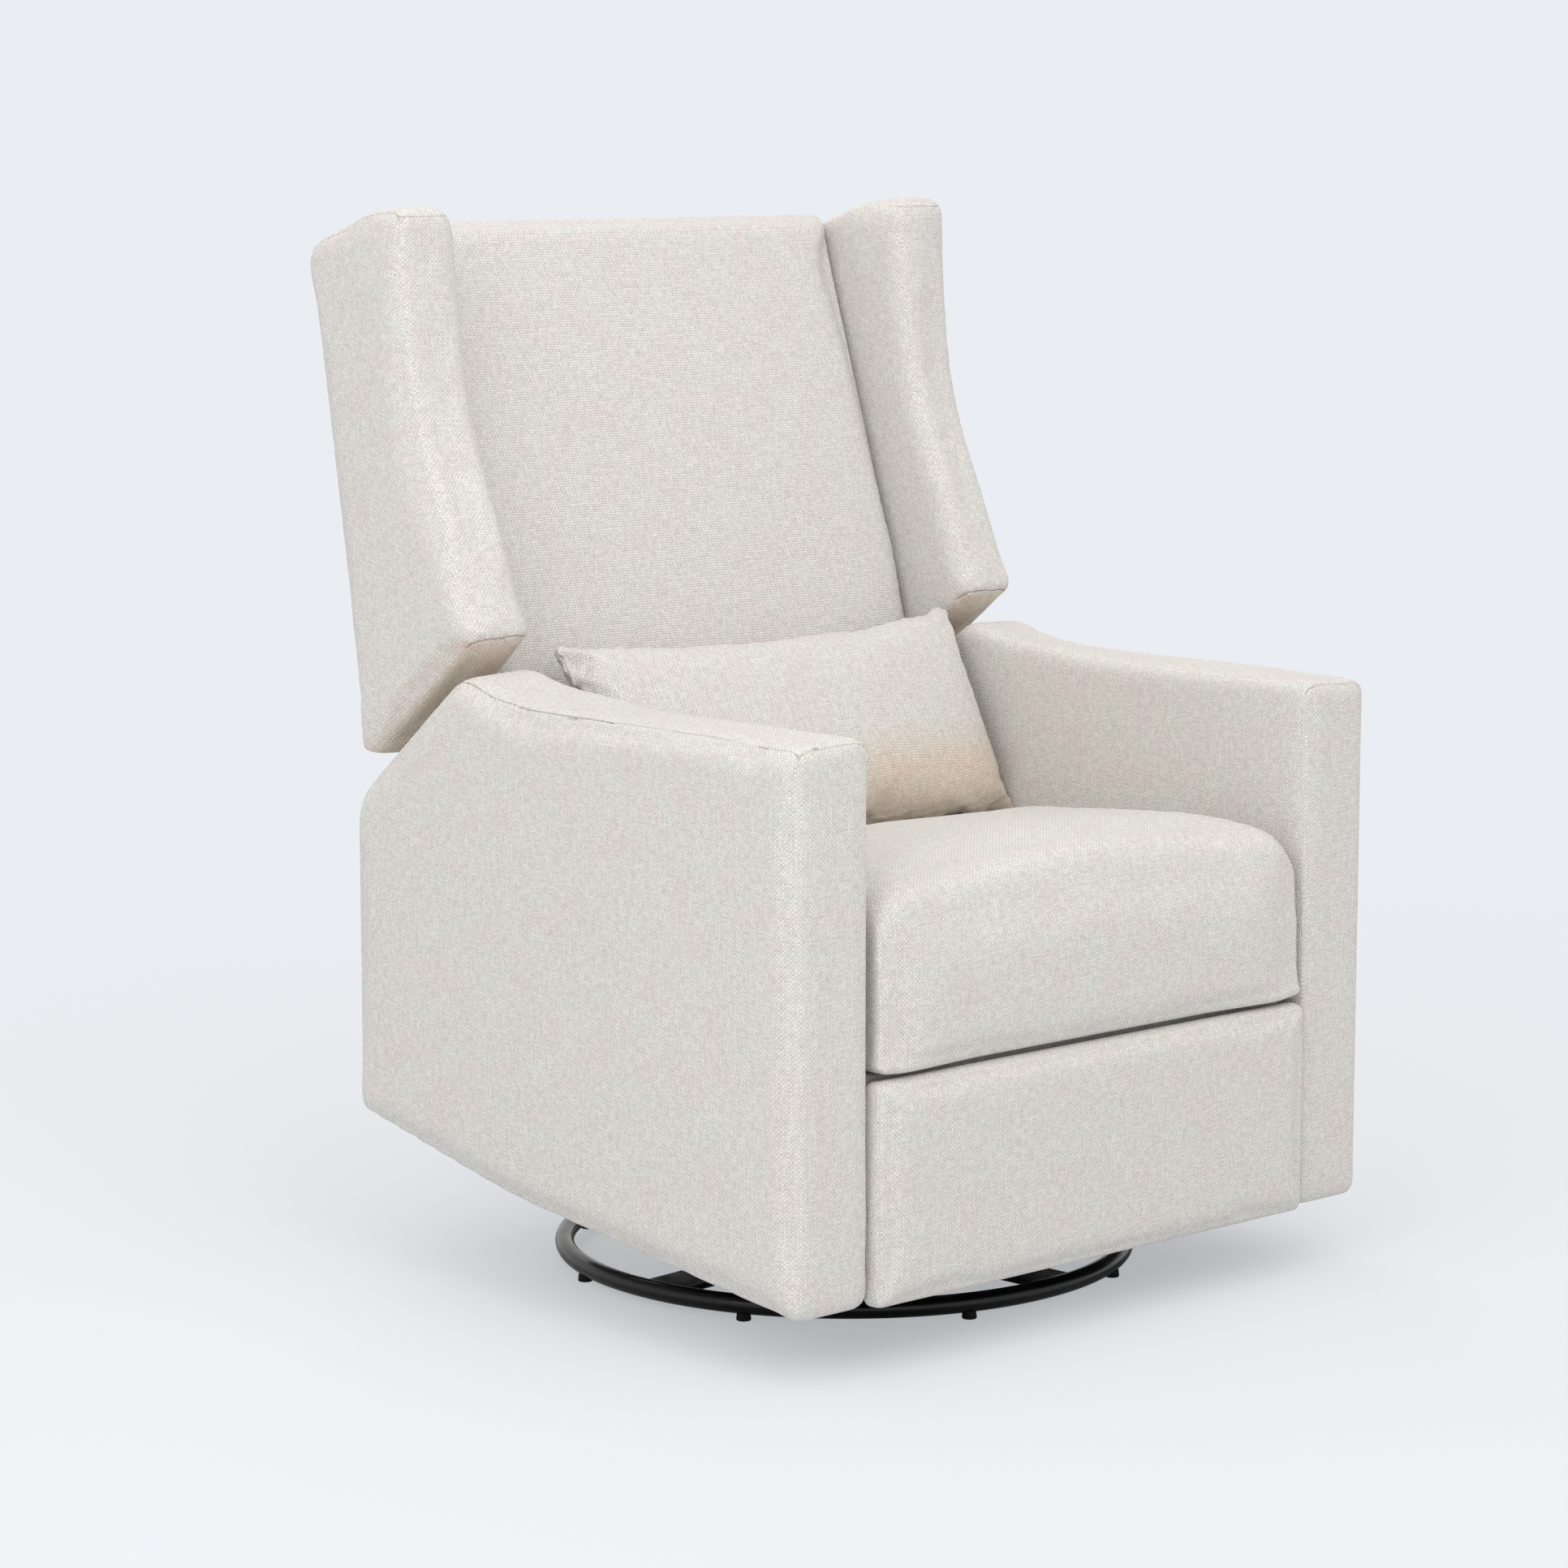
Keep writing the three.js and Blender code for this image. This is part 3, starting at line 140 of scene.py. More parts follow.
def paper_finish():
    finish = Finish("studio_paper")
    finish.shader.inputs["Base Color"].default_value = (0.72, 0.74, 0.77, 1)
    finish.shader.inputs["Roughness"].default_value = 0.9
    finish.shader.inputs["Specular IOR Level"].default_value = 0.1
    place = finish.add("ShaderNodeTexCoord", output=3)
    reach = finish.nodes.new("ShaderNodeVectorMath")
    reach.operation = "LENGTH"
    finish.links.new(place, reach.inputs[0])
    far = finish.spread(reach.outputs["Value"], PAPER_RADIUS, PAPER_RADIUS + PAPER_FADE)
    glow = finish.add("ShaderNodeEmission", Color=SURROUND, Strength=1.0)
    seen = finish.add("ShaderNodeLightPath", output=0)
    blend = finish.nodes.new("ShaderNodeMixShader")
    faint = finish.sum("MULTIPLY_ADD", far, 1 - PAPER_GLOW, PAPER_GLOW)
    finish.put(finish.sum("MULTIPLY", faint, seen), blend.inputs["Fac"])
    finish.put(finish.shader.outputs[0], blend.inputs[1])
    finish.put(glow, blend.inputs[2])
    finish.put(blend.outputs[0], finish.nodes["Material Output"].inputs["Surface"])
    return finish.material


bpy.ops.mesh.primitive_circle_add(vertices=96, radius=FLOOR_RADIUS, fill_type="NGON")
floor = bpy.context.object
floor.name = "studio_floor"
floor.data.materials.append(paper_finish())

sky = bpy.data.worlds.new("studio_sky")
sky.use_nodes = True
sky_nodes = sky.node_tree.nodes
sky_links = sky.node_tree.links
sky_light = sky_nodes["Background"]
sky_light.inputs["Color"].default_value = (1.0, 0.985, 0.97, 1)
sky_light.inputs["Strength"].default_value = SKY_STRENGTH
sky_seen = sky_nodes.new("ShaderNodeBackground")
sky_seen.inputs["Color"].default_value = SURROUND
sky_path = sky_nodes.new("ShaderNodeLightPath")
sky_mix = sky_nodes.new("ShaderNodeMixShader")
sky_links.new(sky_path.outputs["Is Camera Ray"], sky_mix.inputs["Fac"])
sky_links.new(sky_light.outputs[0], sky_mix.inputs[1])
sky_links.new(sky_seen.outputs[0], sky_mix.inputs[2])
sky_links.new(sky_mix.outputs[0], sky_nodes["World Output"].inputs["Surface"])
bpy.context.scene.world = sky

SOFT_BOX_AIM = Vector((0, 0, 0.5))


def soft_box(name, place, size, power):
    """A lamp in a white box, turned to the middle of the chair."""
    light = bpy.data.lights.new(name, "AREA")
    light.shape = "RECTANGLE"
    light.size, light.size_y = size
    light.energy = power
    box = bpy.data.objects.new(name, light)
    box.location = place
    aim = SOFT_BOX_AIM - Vector(place)
    box.rotation_euler = aim.to_track_quat("-Z", "Y").to_euler()
    bpy.context.collection.objects.link(box)


soft_box("key_soft_box", (-1.0, -3.3, 3.2), (2.8, 2.4), 38)
soft_box("fill_soft_box", (-3.3, -1.3, 2.7), (2.6, 2.4), 37)
soft_box("rear_soft_box", (1.5, 3.4, 3.0), (2.4, 2.0), 26)
soft_box("top_soft_box", (-0.6, -0.4, 3.8), (3.0, 3.0), 28)

# ---------------------------------------------------------------- ring base
# One round steel tube bent to a ring, butt welded and enamelled gloss black. Two flat
# bars are welded across it and carry the swivel bearing at their middle.
ring_low, ring_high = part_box("base_ring")
ring_centre = (ring_low + ring_high) / 2
ring_tube = (ring_high.z - ring_low.z) / 2


def gloss_black_finish():
    finish = Finish("ring_gloss_black")
    place = finish.add("ShaderNodeTexCoord", output=3)
    dust = finish.noise(place, 900, 3)
    finish.put(finish.mix(finish.spread(dust, 0.6, 0.8), (0.004, 0.004, 0.0045, 1),
                          (0.010, 0.010, 0.011, 1)), finish.shader.inputs["Base Color"])
    smear = finish.noise(place, 30, 4)
    finish.put(finish.spread(smear, 0.3, 0.7, 0.16, 0.26), finish.shader.inputs["Roughness"])
    finish.shader.inputs["Specular IOR Level"].default_value = 0.32
    finish.shader.inputs["Coat Weight"].default_value = 0.12
    finish.shader.inputs["Coat Roughness"].default_value = 0.06
    finish.bump(finish.noise(place, 260, 2), 0.0003, 0.15)
    return finish.material


def give(nodes, material):
    """Puts one finish on frame pieces that show as they are."""
    for node in nodes:
        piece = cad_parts[node]
        if not piece.material_slots:
            piece.data.materials.append(material)
        for slot in piece.material_slots:
            slot.material = material


gloss_black = gloss_black_finish()
bpy.ops.object.select_all(action="DESELECT")
bpy.ops.mesh.primitive_torus_add(
    location=ring_centre, major_radius=ring_high.x - ring_tube - ring_centre.x,
    minor_radius=ring_tube, major_segments=144, minor_segments=24)
ring = bpy.context.object
ring.name = "enamelled_ring"
bpy.ops.object.transform_apply(location=True)
bpy.ops.object.shade_smooth()
ring.data.materials.append(gloss_black)
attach(ring, "base")
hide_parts("base_ring")


# The bars, and the stand's channels and plates, are flat steel, sprayed satin black.
def black_steel_finish():
    finish = Finish("frame_black_steel")
    place = finish.add("ShaderNodeTexCoord", output=3)
    finish.put(finish.mix(finish.noise(place, 45, 3), (0.005, 0.005, 0.0055, 1),
                          (0.012, 0.012, 0.013, 1)), finish.shader.inputs["Base Color"])
    finish.put(finish.spread(finish.noise(place, 80, 3), 0.3, 0.7, 0.36, 0.5),
               finish.shader.inputs["Roughness"])
    finish.shader.inputs["Specular IOR Level"].default_value = 0.25
    finish.bump(finish.noise(place, 1400, 2), 0.0002, 0.5)
    return finish.material


black_steel = black_steel_finish()
give(["base_bar_side_to_side", "base_bar_front_to_back", "front_channel", "rear_channel",
      "hanger_plate_left", "hanger_plate_right", "carriage_plate_left",
      "carriage_plate_right"], black_steel)

# ---------------------------------------------------------------- feet
# Eight moulded rubber feet at an even pitch, pressed up against the tube's underside.
# Each is a short plug, a little narrower at its top, with a rounded edge.
def rubber_finish():
    finish = Finish("foot_rubber")
    place = finish.add("ShaderNodeTexCoord", output=3)
    finish.put(finish.mix(finish.noise(place, 200, 2), (0.004, 0.004, 0.004, 1),
                          (0.010, 0.010, 0.010, 1)), finish.shader.inputs["Base Color"])
    finish.shader.inputs["Roughness"].default_value = 0.7
    finish.shader.inputs["Specular IOR Level"].default_value = 0.2
    finish.bump(finish.noise(place, 2500, 2), 0.0001, 0.6)
    return finish.material


FOOT_CHAMFER = 0.0015
FOOT_WAIST = 0.86             # a foot's width at its top, as a share
FOOT_RISE = 0.25              # how far up the tube it reaches, in tube radii
rubber = rubber_finish()
for node in [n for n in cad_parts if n.startswith("foot_") and n[5:].isdigit()]:
    low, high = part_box(node)
    width = high.x - low.x
    rise = ring_low.z + ring_tube * FOOT_RISE - low.z
    bpy.ops.object.select_all(action="DESELECT")
    bpy.ops.mesh.primitive_cylinder_add(
        vertices=48, radius=width / 2, depth=rise,
        location=((low.x + high.x) / 2, (low.y + high.y) / 2, low.z + rise / 2))
    foot = bpy.context.object
    foot.name = node.replace("foot", "rubber_foot")
    bpy.ops.object.transform_apply(location=True)
    for vertex in foot.data.vertices:
        if vertex.co.z > low.z + rise / 2:
            middle = Vector(((low.x + high.x) / 2, (low.y + high.y) / 2, vertex.co.z))
            vertex.co = middle.lerp(vertex.co, FOOT_WAIST)
    edge = foot.modifiers.new("edge", "BEVEL")
    edge.width = FOOT_CHAMFER
    edge.segments = 3
    bpy.ops.object.modifier_apply(modifier="edge")
    bpy.ops.object.shade_smooth_by_angle(angle=math.radians(40))
    foot.data.materials.append(rubber)
    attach(foot, "base")
    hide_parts(node)

# ---------------------------------------------------------------- mechanism
# Pressed steel side plates, links, rivets and tubes, all zinc plated, with the drawn
# lines and the dull spangle that plating leaves.
def zinc_finish():
    finish = Finish("mechanism_zinc_steel")
    place = finish.add("ShaderNodeTexCoord", output=3)
    spangle = finish.add("ShaderNodeTexVoronoi", Vector=place, Scale=160.0)
    finish.put(finish.mix(spangle, (0.30, 0.31, 0.32, 1), (0.46, 0.47, 0.48, 1)),
               finish.shader.inputs["Base Color"])
    finish.shader.inputs["Metallic"].default_value = 0.9
    finish.put(finish.spread(finish.noise(place, 70, 3), 0.3, 0.7, 0.32, 0.5),
               finish.shader.inputs["Roughness"])
    finish.bump(finish.noise(place, 900, 2), 0.0001, 0.5)
    return finish.material


zinc = zinc_finish()
give([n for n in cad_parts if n.startswith((
    "lower_race", "upper_race", "front_glide", "rear_glide", "front_cross",
    "rear_cross", "mechanism_plate", "lift_", "stay_", "carrier_", "follower_",
    "footrest_bracket", "hinge_bracket", "seat_spring"))], zinc)

# ---------------------------------------------------------------- timber frames
# Sawn hardwood rails for the seat, the back and the footrest board, glued and screwed.
# Only the back's upper rail stays bare, under the padding.
def timber_finish():
    finish = Finish("frame_timber")
    place = finish.add("ShaderNodeTexCoord", output=3)
    along = finish.add("ShaderNodeMapping", Vector=place, Scale=(6, 60, 60))
    rings = finish.add("ShaderNodeTexNoise", Vector=along, Scale=3.0, Detail=5.0,
                       Distortion=1.2)
    finish.put(finish.mix(finish.spread(rings, 0.35, 0.65), (0.36, 0.22, 0.12, 1),
                          (0.58, 0.40, 0.24, 1)), finish.shader.inputs["Base Color"])
    finish.shader.inputs["Roughness"].default_value = 0.7
    finish.bump(rings, 0.0006, 0.6)
    return finish.material


timber = timber_finish()
give(["back_upper_rail"], timber)


# The rails that show past the covers are wrapped in black lining cloth, stapled on.
def lining_finish():
    finish = Finish("black_lining_cloth")
    place = finish.add("ShaderNodeTexCoord", output=3)
    thread = finish.noise(place, 1500, 1)
    finish.put(finish.mix(thread, (0.008, 0.008, 0.009, 1), (0.03, 0.03, 0.032, 1)),
               finish.shader.inputs["Base Color"])
    finish.shader.inputs["Roughness"].default_value = 0.95
    finish.bump(thread, 0.0002, 0.6)
    return finish.material


lining = lining_finish()
give([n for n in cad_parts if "seat_rail" in n or n == "footrest_board"
      or n.startswith(("back_lower_rail", "back_stile"))], lining)

# ---------------------------------------------------------------- seat cushion
# A foam block in a sewn cover, crowned across the seat, with a tight lower edge where the
# cover is drawn under in front. It is fixed down on the seat frame, between the arms.
THREAD = 0.0021
THREAD_WANDER = 1.1
SEAM_STRENGTH = 0.36
# Painted shade: a warm, darker tint that stands in for bounce light and shade, multiplied in
# where a cover's painted warm-shade mark is set
UNDERSIDE_PAINTED_SHADE = (0.985, 0.885, 0.80, 1)
WARP_SHADE = (0.72, 0.695, 0.66, 1)
WARP_LIGHT = (0.89, 0.87, 0.835, 1)
WEFT_SHADE = (0.60, 0.58, 0.55, 1)
WEFT_LIGHT = (0.78, 0.76, 0.725, 1)
FLECK_SHADE = (0.50, 0.46, 0.42, 1)
# Painted shade between the threads:
GAP_PAINTED_SHADE = (0.36, 0.33, 0.29, 1)
# The seam line's dark colour: partly the stitch thread, partly painted shade in the seam's
# groove
SEAM_THREAD_AND_PAINTED_SHADE = (0.20, 0.175, 0.15, 1)


def woven_finish():
    """A plain weave of thick slubbed threads, laid over the covers' weave map, with painted
    shade between the threads, in the seams' grooves and under the covers.
    """
    finish = Finish("oatmeal_weave")
    laid = finish.add("ShaderNodeUVMap", settings={"uv_map": "weave"})
    apart = finish.nodes.new("ShaderNodeSeparateXYZ")
    finish.links.new(laid, apart.inputs[0])
    wander = finish.sum("MULTIPLY", finish.noise(laid, 40.0, 2), THREAD_WANDER)
    across = finish.sum("ADD", finish.sum("DIVIDE", apart.outputs[0], THREAD), wander)
    along = finish.sum("ADD", finish.sum("DIVIDE", apart.outputs[1], THREAD), wander)
    warp = finish.sum("FLOOR", across)
    weft = finish.sum("FLOOR", along)
    over = finish.sum("FLOORED_MODULO", finish.sum("ADD", warp, weft), 2.0)
    warp_round = finish.sum("ABSOLUTE", finish.sum(
        "SINE", finish.sum("MULTIPLY", across, math.pi)))
    weft_round = finish.sum("ABSOLUTE", finish.sum(
        "SINE", finish.sum("MULTIPLY", along, math.pi)))
    warp_hump = finish.sum("MULTIPLY", warp_round, finish.sum(
        "MULTIPLY_ADD", weft_round, 0.5, 0.5))
    weft_hump = finish.sum("MULTIPLY", weft_round, finish.sum(
        "MULTIPLY_ADD", warp_round, 0.5, 0.5))
    height = finish.mix(over, warp_hump, weft_hump)
    warp_tone = finish.noise(finish.point(finish.sum("MULTIPLY", warp, 0.713),
                                          finish.sum("MULTIPLY", along, 0.24)), 1.0, 1)
    weft_tone = finish.noise(finish.point(finish.sum("MULTIPLY", across, 0.24),
                                          finish.sum("MULTIPLY", weft, 0.713), 7.0), 1.0, 1)
    thread = finish.mix(
        over, finish.mix(finish.spread(warp_tone, 0.25, 0.75), WARP_SHADE, WARP_LIGHT),
        finish.mix(finish.spread(weft_tone, 0.25, 0.75), WEFT_SHADE, WEFT_LIGHT))
    streak = finish.noise(finish.add("ShaderNodeMapping", Vector=laid, Scale=(330, 26, 1)),
                          1.0, 1)
    streaked = finish.product(thread, finish.mix(
        finish.spread(streak, 0.3, 0.7), (0.972, 0.972, 0.972, 1), (1.015, 1.015, 1.015, 1)))
    fleck = finish.noise(finish.add("ShaderNodeMapping", Vector=laid, Scale=(300, 430, 1)),
                         1.0, 1)
    flecked = finish.mix(finish.spread(fleck, 0.7, 0.8, 0.0, 0.4), streaked, FLECK_SHADE)
    patch = finish.spread(finish.noise(laid, 24.0, 3), 0.35, 0.65)
    blushed = finish.product(flecked, finish.mix(patch, (0.975, 1.0, 0.985, 1),
                                                 (1.0, 0.963, 0.972, 1)))
    # Painted shade: the low parts of the weave, between the threads, are darkened
    shaded = finish.mix(finish.spread(height, 0.0, 0.5, 0.42, 0.0), blushed, GAP_PAINTED_SHADE)
    # Painted shade and warm bounce light: the weave turns warmer and darker where the cover's
    # painted warm-shade mark is set
    painted_warm_shade = finish.add("ShaderNodeAttribute", output=2,
                        settings={"attribute_name": "painted_warm_shade"})
    warm_shaded = finish.product(shaded, finish.mix(painted_warm_shade, (1, 1, 1, 1), UNDERSIDE_PAINTED_SHADE))
    # The seam line, darkened: partly the stitch thread, partly painted shade down the seam's
    # groove
    seam = finish.add("ShaderNodeAttribute", output=2, settings={"attribute_name": "seam"})
    finish.put(finish.mix(finish.sum("MULTIPLY", seam, SEAM_STRENGTH), warm_shaded, SEAM_THREAD_AND_PAINTED_SHADE),
               finish.shader.inputs["Base Color"])
    finish.shader.inputs["Roughness"].default_value = 0.92
    finish.shader.inputs["Specular IOR Level"].default_value = 0.25
    finish.shader.inputs["Sheen Weight"].default_value = 0.12
    finish.shader.inputs["Sheen Roughness"].default_value = 0.45
    finish.bump(height, 0.0006, 0.9)
    return finish.material


woven = woven_finish()


def only(piece):
    bpy.ops.object.select_all(action="DESELECT")
    piece.select_set(True)
    bpy.context.view_layer.objects.active = piece


def changed(piece, kind, **settings):
    """Adds one modifier to a cover and applies it."""
    only(piece)
    change = piece.modifiers.new("change", kind)
    for key, value in settings.items():
        setattr(change, key, value)
    bpy.ops.object.modifier_apply(modifier="change")


def cover(node, name):
    """A cover cut to the solid of one frame piece, its doubled points merged."""
    piece = bpy.data.objects.new(name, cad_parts[node].data.copy())
    bpy.context.collection.objects.link(piece)
    only(piece)
    bpy.ops.object.mode_set(mode="EDIT")
    bpy.ops.mesh.select_all(action="SELECT")
    bpy.ops.mesh.remove_doubles(threshold=1e-5)
    bpy.ops.mesh.normals_make_consistent(inside=False)
    bpy.ops.object.mode_set(mode="OBJECT")
    return piece


def places(piece):
    """Where the points of a cover are, one row each."""
    co = np.empty(len(piece.data.vertices) * 3, np.float32)
    piece.data.vertices.foreach_get("co", co)
    return co.reshape(-1, 3).astype(float)


def move_to(piece, co):
    piece.data.vertices.foreach_set("co", co.astype(np.float32).ravel())
    piece.data.update()


def outwards(piece):
    """Which way a cover faces at each of its points."""
    way = np.empty(len(piece.data.vertices) * 3, np.float32)
    piece.data.vertices.foreach_get("normal", way)
    return way.reshape(-1, 3).astype(float)


def evened(piece, voxel, rounds=3):
    """Gives a cover one even mesh, fine enough to swell and crease."""
    changed(piece, "REMESH", mode="VOXEL", voxel_size=voxel)
    changed(piece, "SMOOTH", factor=0.5, iterations=rounds)


def softened(piece, above, rounds):
    """Relaxes the cloth of a cover above a height."""
    upper = piece.vertex_groups.new(name="upper")
    upper.add([int(i) for i in np.nonzero(places(piece)[:, 2] > above)[0]], 1.0, "REPLACE")
    changed(piece, "SMOOTH", factor=0.5, iterations=rounds, vertex_group="upper")


def finer(piece):
    """Splits a cover's mesh once more, to a smooth surface."""
    changed(piece, "SUBSURF", levels=1, render_levels=1)


def swell(piece, cap, held, slack=0.0, pressure=4.0, frames=20, draw=0.0015):
    """Stuffs a cover: cloth under pressure, tacked down where it is held. No point moves
    out further than the cap, or draws in and along further than the draw."""
    way = outwards(piece)
    loose = 1 - held(places(piece))[:, None]
    move_to(piece, places(piece) - way * slack * loose)
    start = places(piece)
    tacks = piece.vertex_groups.new(name="tacks")
    tacks.add([int(i) for i in np.nonzero(loose[:, 0] < 0.5)[0]], 1.0, "REPLACE")
    wadding = piece.modifiers.new("wadding", "CLOTH")
    wadding.settings.quality = 5
    wadding.settings.use_pressure = True
    wadding.settings.uniform_pressure_force = pressure
    wadding.settings.effector_weights.gravity = 0
    wadding.settings.vertex_group_mass = "tacks"
    wadding.point_cache.frame_end = frames
    for step in range(1, frames + 1):
        bpy.context.scene.frame_set(step)
    only(piece)
    bpy.ops.object.modifier_apply(modifier="wadding")
    bpy.context.scene.frame_set(1)
    moved = places(piece) - start
    out = (moved * way).sum(1, keepdims=True)
    aside = moved - way * out
    out = np.where(out > 0, cap * np.tanh(out / cap), np.maximum(out, -draw))
    reach = np.linalg.norm(aside, axis=1, keepdims=True)
    move_to(piece, start + way * out + aside * draw / np.maximum(reach, draw))
    piece.vertex_groups.clear()
    changed(piece, "SMOOTH", factor=0.5, iterations=2)


def fit(piece, low, high):
    """Draws a cover out to its full size between two corners."""
    co = places(piece)
    now_low, now_high = co.min(0), co.max(0)
    move_to(piece, np.array(low) + (co - now_low) / (now_high - now_low)
            * (np.array(high) - np.array(low)))


def between(value, low, high, fade=0.012):
    """1 inside a stretch and 0 outside it, with a soft end of the given length."""
    rise = np.clip((value - low) / fade + 0.5, 0, 1)
    fall = np.clip((high - value) / fade + 0.5, 0, 1)
    return rise * rise * (3 - 2 * rise) * fall * fall * (3 - 2 * fall)


def ripple(co, pitch, seed):
    """Slow uneven waves from -1 to 1, the same on every run."""
    waves = np.zeros(len(co))
    for turn, share in ((1.0, 0.5), (1.9, 0.3), (3.7, 0.2)):
        way = np.array((math.cos(seed + turn), math.sin(2.3 * seed + turn),
                        math.cos(3.1 * seed - turn)))
        waves += share * np.sin(co @ way * (2 * math.pi * turn / pitch) + seed * turn)
    return waves


def painted(piece, name):
    """What a cover has of a mark so far, from 0 to 1 at each point."""
    layer = piece.data.attributes.get(name)
    values = np.zeros(len(piece.data.vertices), np.float32)
    if layer:
        layer.data.foreach_get("value", values)
    return values.astype(float)


def paint(piece, name, values):
    layer = piece.data.attributes.get(name)
    if layer is None:
        layer = piece.data.attributes.new(name, "FLOAT", "POINT")
    layer.data.foreach_set("value", values.astype(np.float32))


STITCH = 0.0065
SEAM_WIDTH = 0.0015
SEAM_REACH = 0.012            # how far beside a seam the cloth is cut to take it
PUCKER_PITCH = 0.036
THREAD_FADE = 0.09            # how slowly the thread comes and goes


def sew(piece, through, across, near, depth=0.0018, draw=0.012, seed=1.0, pucker=0.0004):
    """Sews a seam where a plane meets the cover, and draws the cloth in beside it, with
    small puckers where the thread gathers it."""
    through = np.array(through, float)
    across = np.array(across, float) / np.linalg.norm(across)
    centres = np.empty(len(piece.data.polygons) * 3, np.float32)
    piece.data.polygons.foreach_get("center", centres)
    centres = centres.reshape(-1, 3).astype(float)
    chosen = (near(centres) > 0.01) & (np.abs((centres - through) @ across) < SEAM_REACH)
    shape = bmesh.new()
    shape.from_mesh(piece.data)
    shape.faces.ensure_lookup_table()
    faces = [shape.faces[int(i)] for i in np.nonzero(chosen)[0]]
    cut = dict.fromkeys(faces)
    cut.update(dict.fromkeys(e for f in faces for e in f.edges))
    cut.update(dict.fromkeys(v for f in faces for v in f.verts))
    cut = list(cut)
    for offset in (-SEAM_WIDTH, 0.0, SEAM_WIDTH):
        cut = bmesh.ops.bisect_plane(
            shape, geom=cut, dist=1e-6, plane_co=Vector(through + across * offset),
            plane_no=Vector(across))["geom"]
    shape.to_mesh(piece.data)
    shape.free()
    co = places(piece)
    gap = (co - through) @ across
    along = near(co)
    stitched = along * (np.abs(gap) < 2e-5)
    beside = along * np.exp(-(gap / draw) ** 2)
    pull = beside * (depth * 0.3 + pucker * ripple(co, PUCKER_PITCH, seed)) + stitched * depth
    move_to(piece, co - outwards(piece) * pull[:, None])
    # The seam mark: the stitch thread in dashes, with painted shade down the middle of the
    # groove
    run = co @ np.cross(across, (0.37, 0.61, 0.70))
    thread = (0.75 + 0.25 * ripple(co, THREAD_FADE, seed)) * np.where(
        np.sin(run * 2 * math.pi / STITCH) > -0.3, 1.0, 0.55)
    paint(piece, "seam", np.maximum(painted(piece, "seam"), stitched * thread))


def lay_weave(piece, lean=0.0, railroaded=False):
    """Lays the threads on a cover, level and upright on each panel, in metres. A
    railroaded cover has its cloth turned, so the warp runs across it."""
    mesh = piece.data
    turn = np.array(((1, 0, 0), (0, math.cos(lean), math.sin(lean)),
                     (0, -math.sin(lean), math.cos(lean))))
    normals = np.empty(len(mesh.polygons) * 3, np.float32)
    mesh.polygons.foreach_get("normal", normals)
    facing = np.abs(normals.reshape(-1, 3) @ turn.T).argmax(1)
    sides = np.empty(len(mesh.polygons), np.int32)
    mesh.polygons.foreach_get("loop_total", sides)
    corners = np.empty(len(mesh.loops), np.int32)
    mesh.loops.foreach_get("vertex_index", corners)
    co = (places(piece) @ turn.T)[corners]
    first = np.array((1, 0, 0))[np.repeat(facing, sides)]
    second = np.array((2, 2, 1))[np.repeat(facing, sides)]
    rows = np.arange(len(co))
    laid = np.stack((co[rows, first], co[rows, second]), 1)
    if railroaded:
        laid = laid[:, ::-1]
    layer = mesh.uv_layers.new(name="weave")
    layer.data.foreach_set("uv", laid.astype(np.float32).ravel())


def finish_cover(piece, body, node, lean=0.0, railroaded=False):
    """Gives a cover its cloth, and puts it on its body in place of a frame piece."""
    lay_weave(piece, lean, railroaded)
    # Every cover carries the seam mark and the painted warm-shade mark, zero where nothing is
    # painted
    for name in ("seam", "painted_warm_shade"):
        paint(piece, name, painted(piece, name))
    piece.data.materials.clear()
    piece.data.materials.append(woven)
    for polygon in piece.data.polygons:
        polygon.use_smooth = True
    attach(piece, body)
    if node:
        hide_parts(node)


SEAT_MESH = 0.006
SEAT_EDGE_ROUND = 0.034
SEAT_FOOT_ROUND = 0.006
SEAT_FOOT_SAG = 0.0045
SEAT_AHEAD = 0.002
SEAT_SQUARE = 0.007           # how much further the front's ends stand ahead
SEAT_SOFT = 40
SEAT_SOFT_ABOVE = 0.36
SEAT_PLAY = 0.0015            # between the cover and each arm
SEAT_TIGHT = 0.006
SEAT_TIGHT_BELOW = 0.42
SEAT_CORNER = 0.024
SEAT_SHOULDER = 0.020         # how full the crown stays towards the arms
SEAT_TOP = 0.38
SEAT_SETTLE = 0.008
SEAT_DENT = 0.018             # where the pillow rests
seat_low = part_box("seat_cushion")[0]
arm_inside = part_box("arm_left")[0].x
seat = cover("seat_cushion", "seat_cushion_cover")
co = places(seat)
rise = co[:, 2] - seat_low.z
rounding = (rise < SEAT_EDGE_ROUND * 0.99) & (rise > 0.001)


def rounded_in(round_size, height):
    """How far a quarter round's surface stands in from its side, up its height."""
    drop = np.clip(round_size - height, 0, round_size)
    return round_size - np.sqrt(round_size ** 2 - drop ** 2)


def tightened(co, corner, inward, wide, tight):
    """Draws a rounded upright edge of a cover out to a smaller radius, in x and y."""
    inward = np.array(inward, float)
    centre = np.array(corner, float) + inward * wide
    off = (centre - co[:, :2]) * inward
    here = (off > 0).all(1)
    off = off[here]
    reach = np.linalg.norm(off, axis=1)
    way = off / np.maximum(reach, 1e-9)[:, None]
    flat = wide / way.max(1)
    inner = wide - tight
    lean_on = inner * way.sum(1)
    arc = lean_on + np.sqrt(np.maximum(lean_on ** 2 - 2 * inner ** 2 + tight ** 2, 0))
    full = np.where((way * flat[:, None]).min(1) > inner, arc, flat)
    co[here, :2] = centre - inward * way * (reach * full / wide)[:, None]
    return co


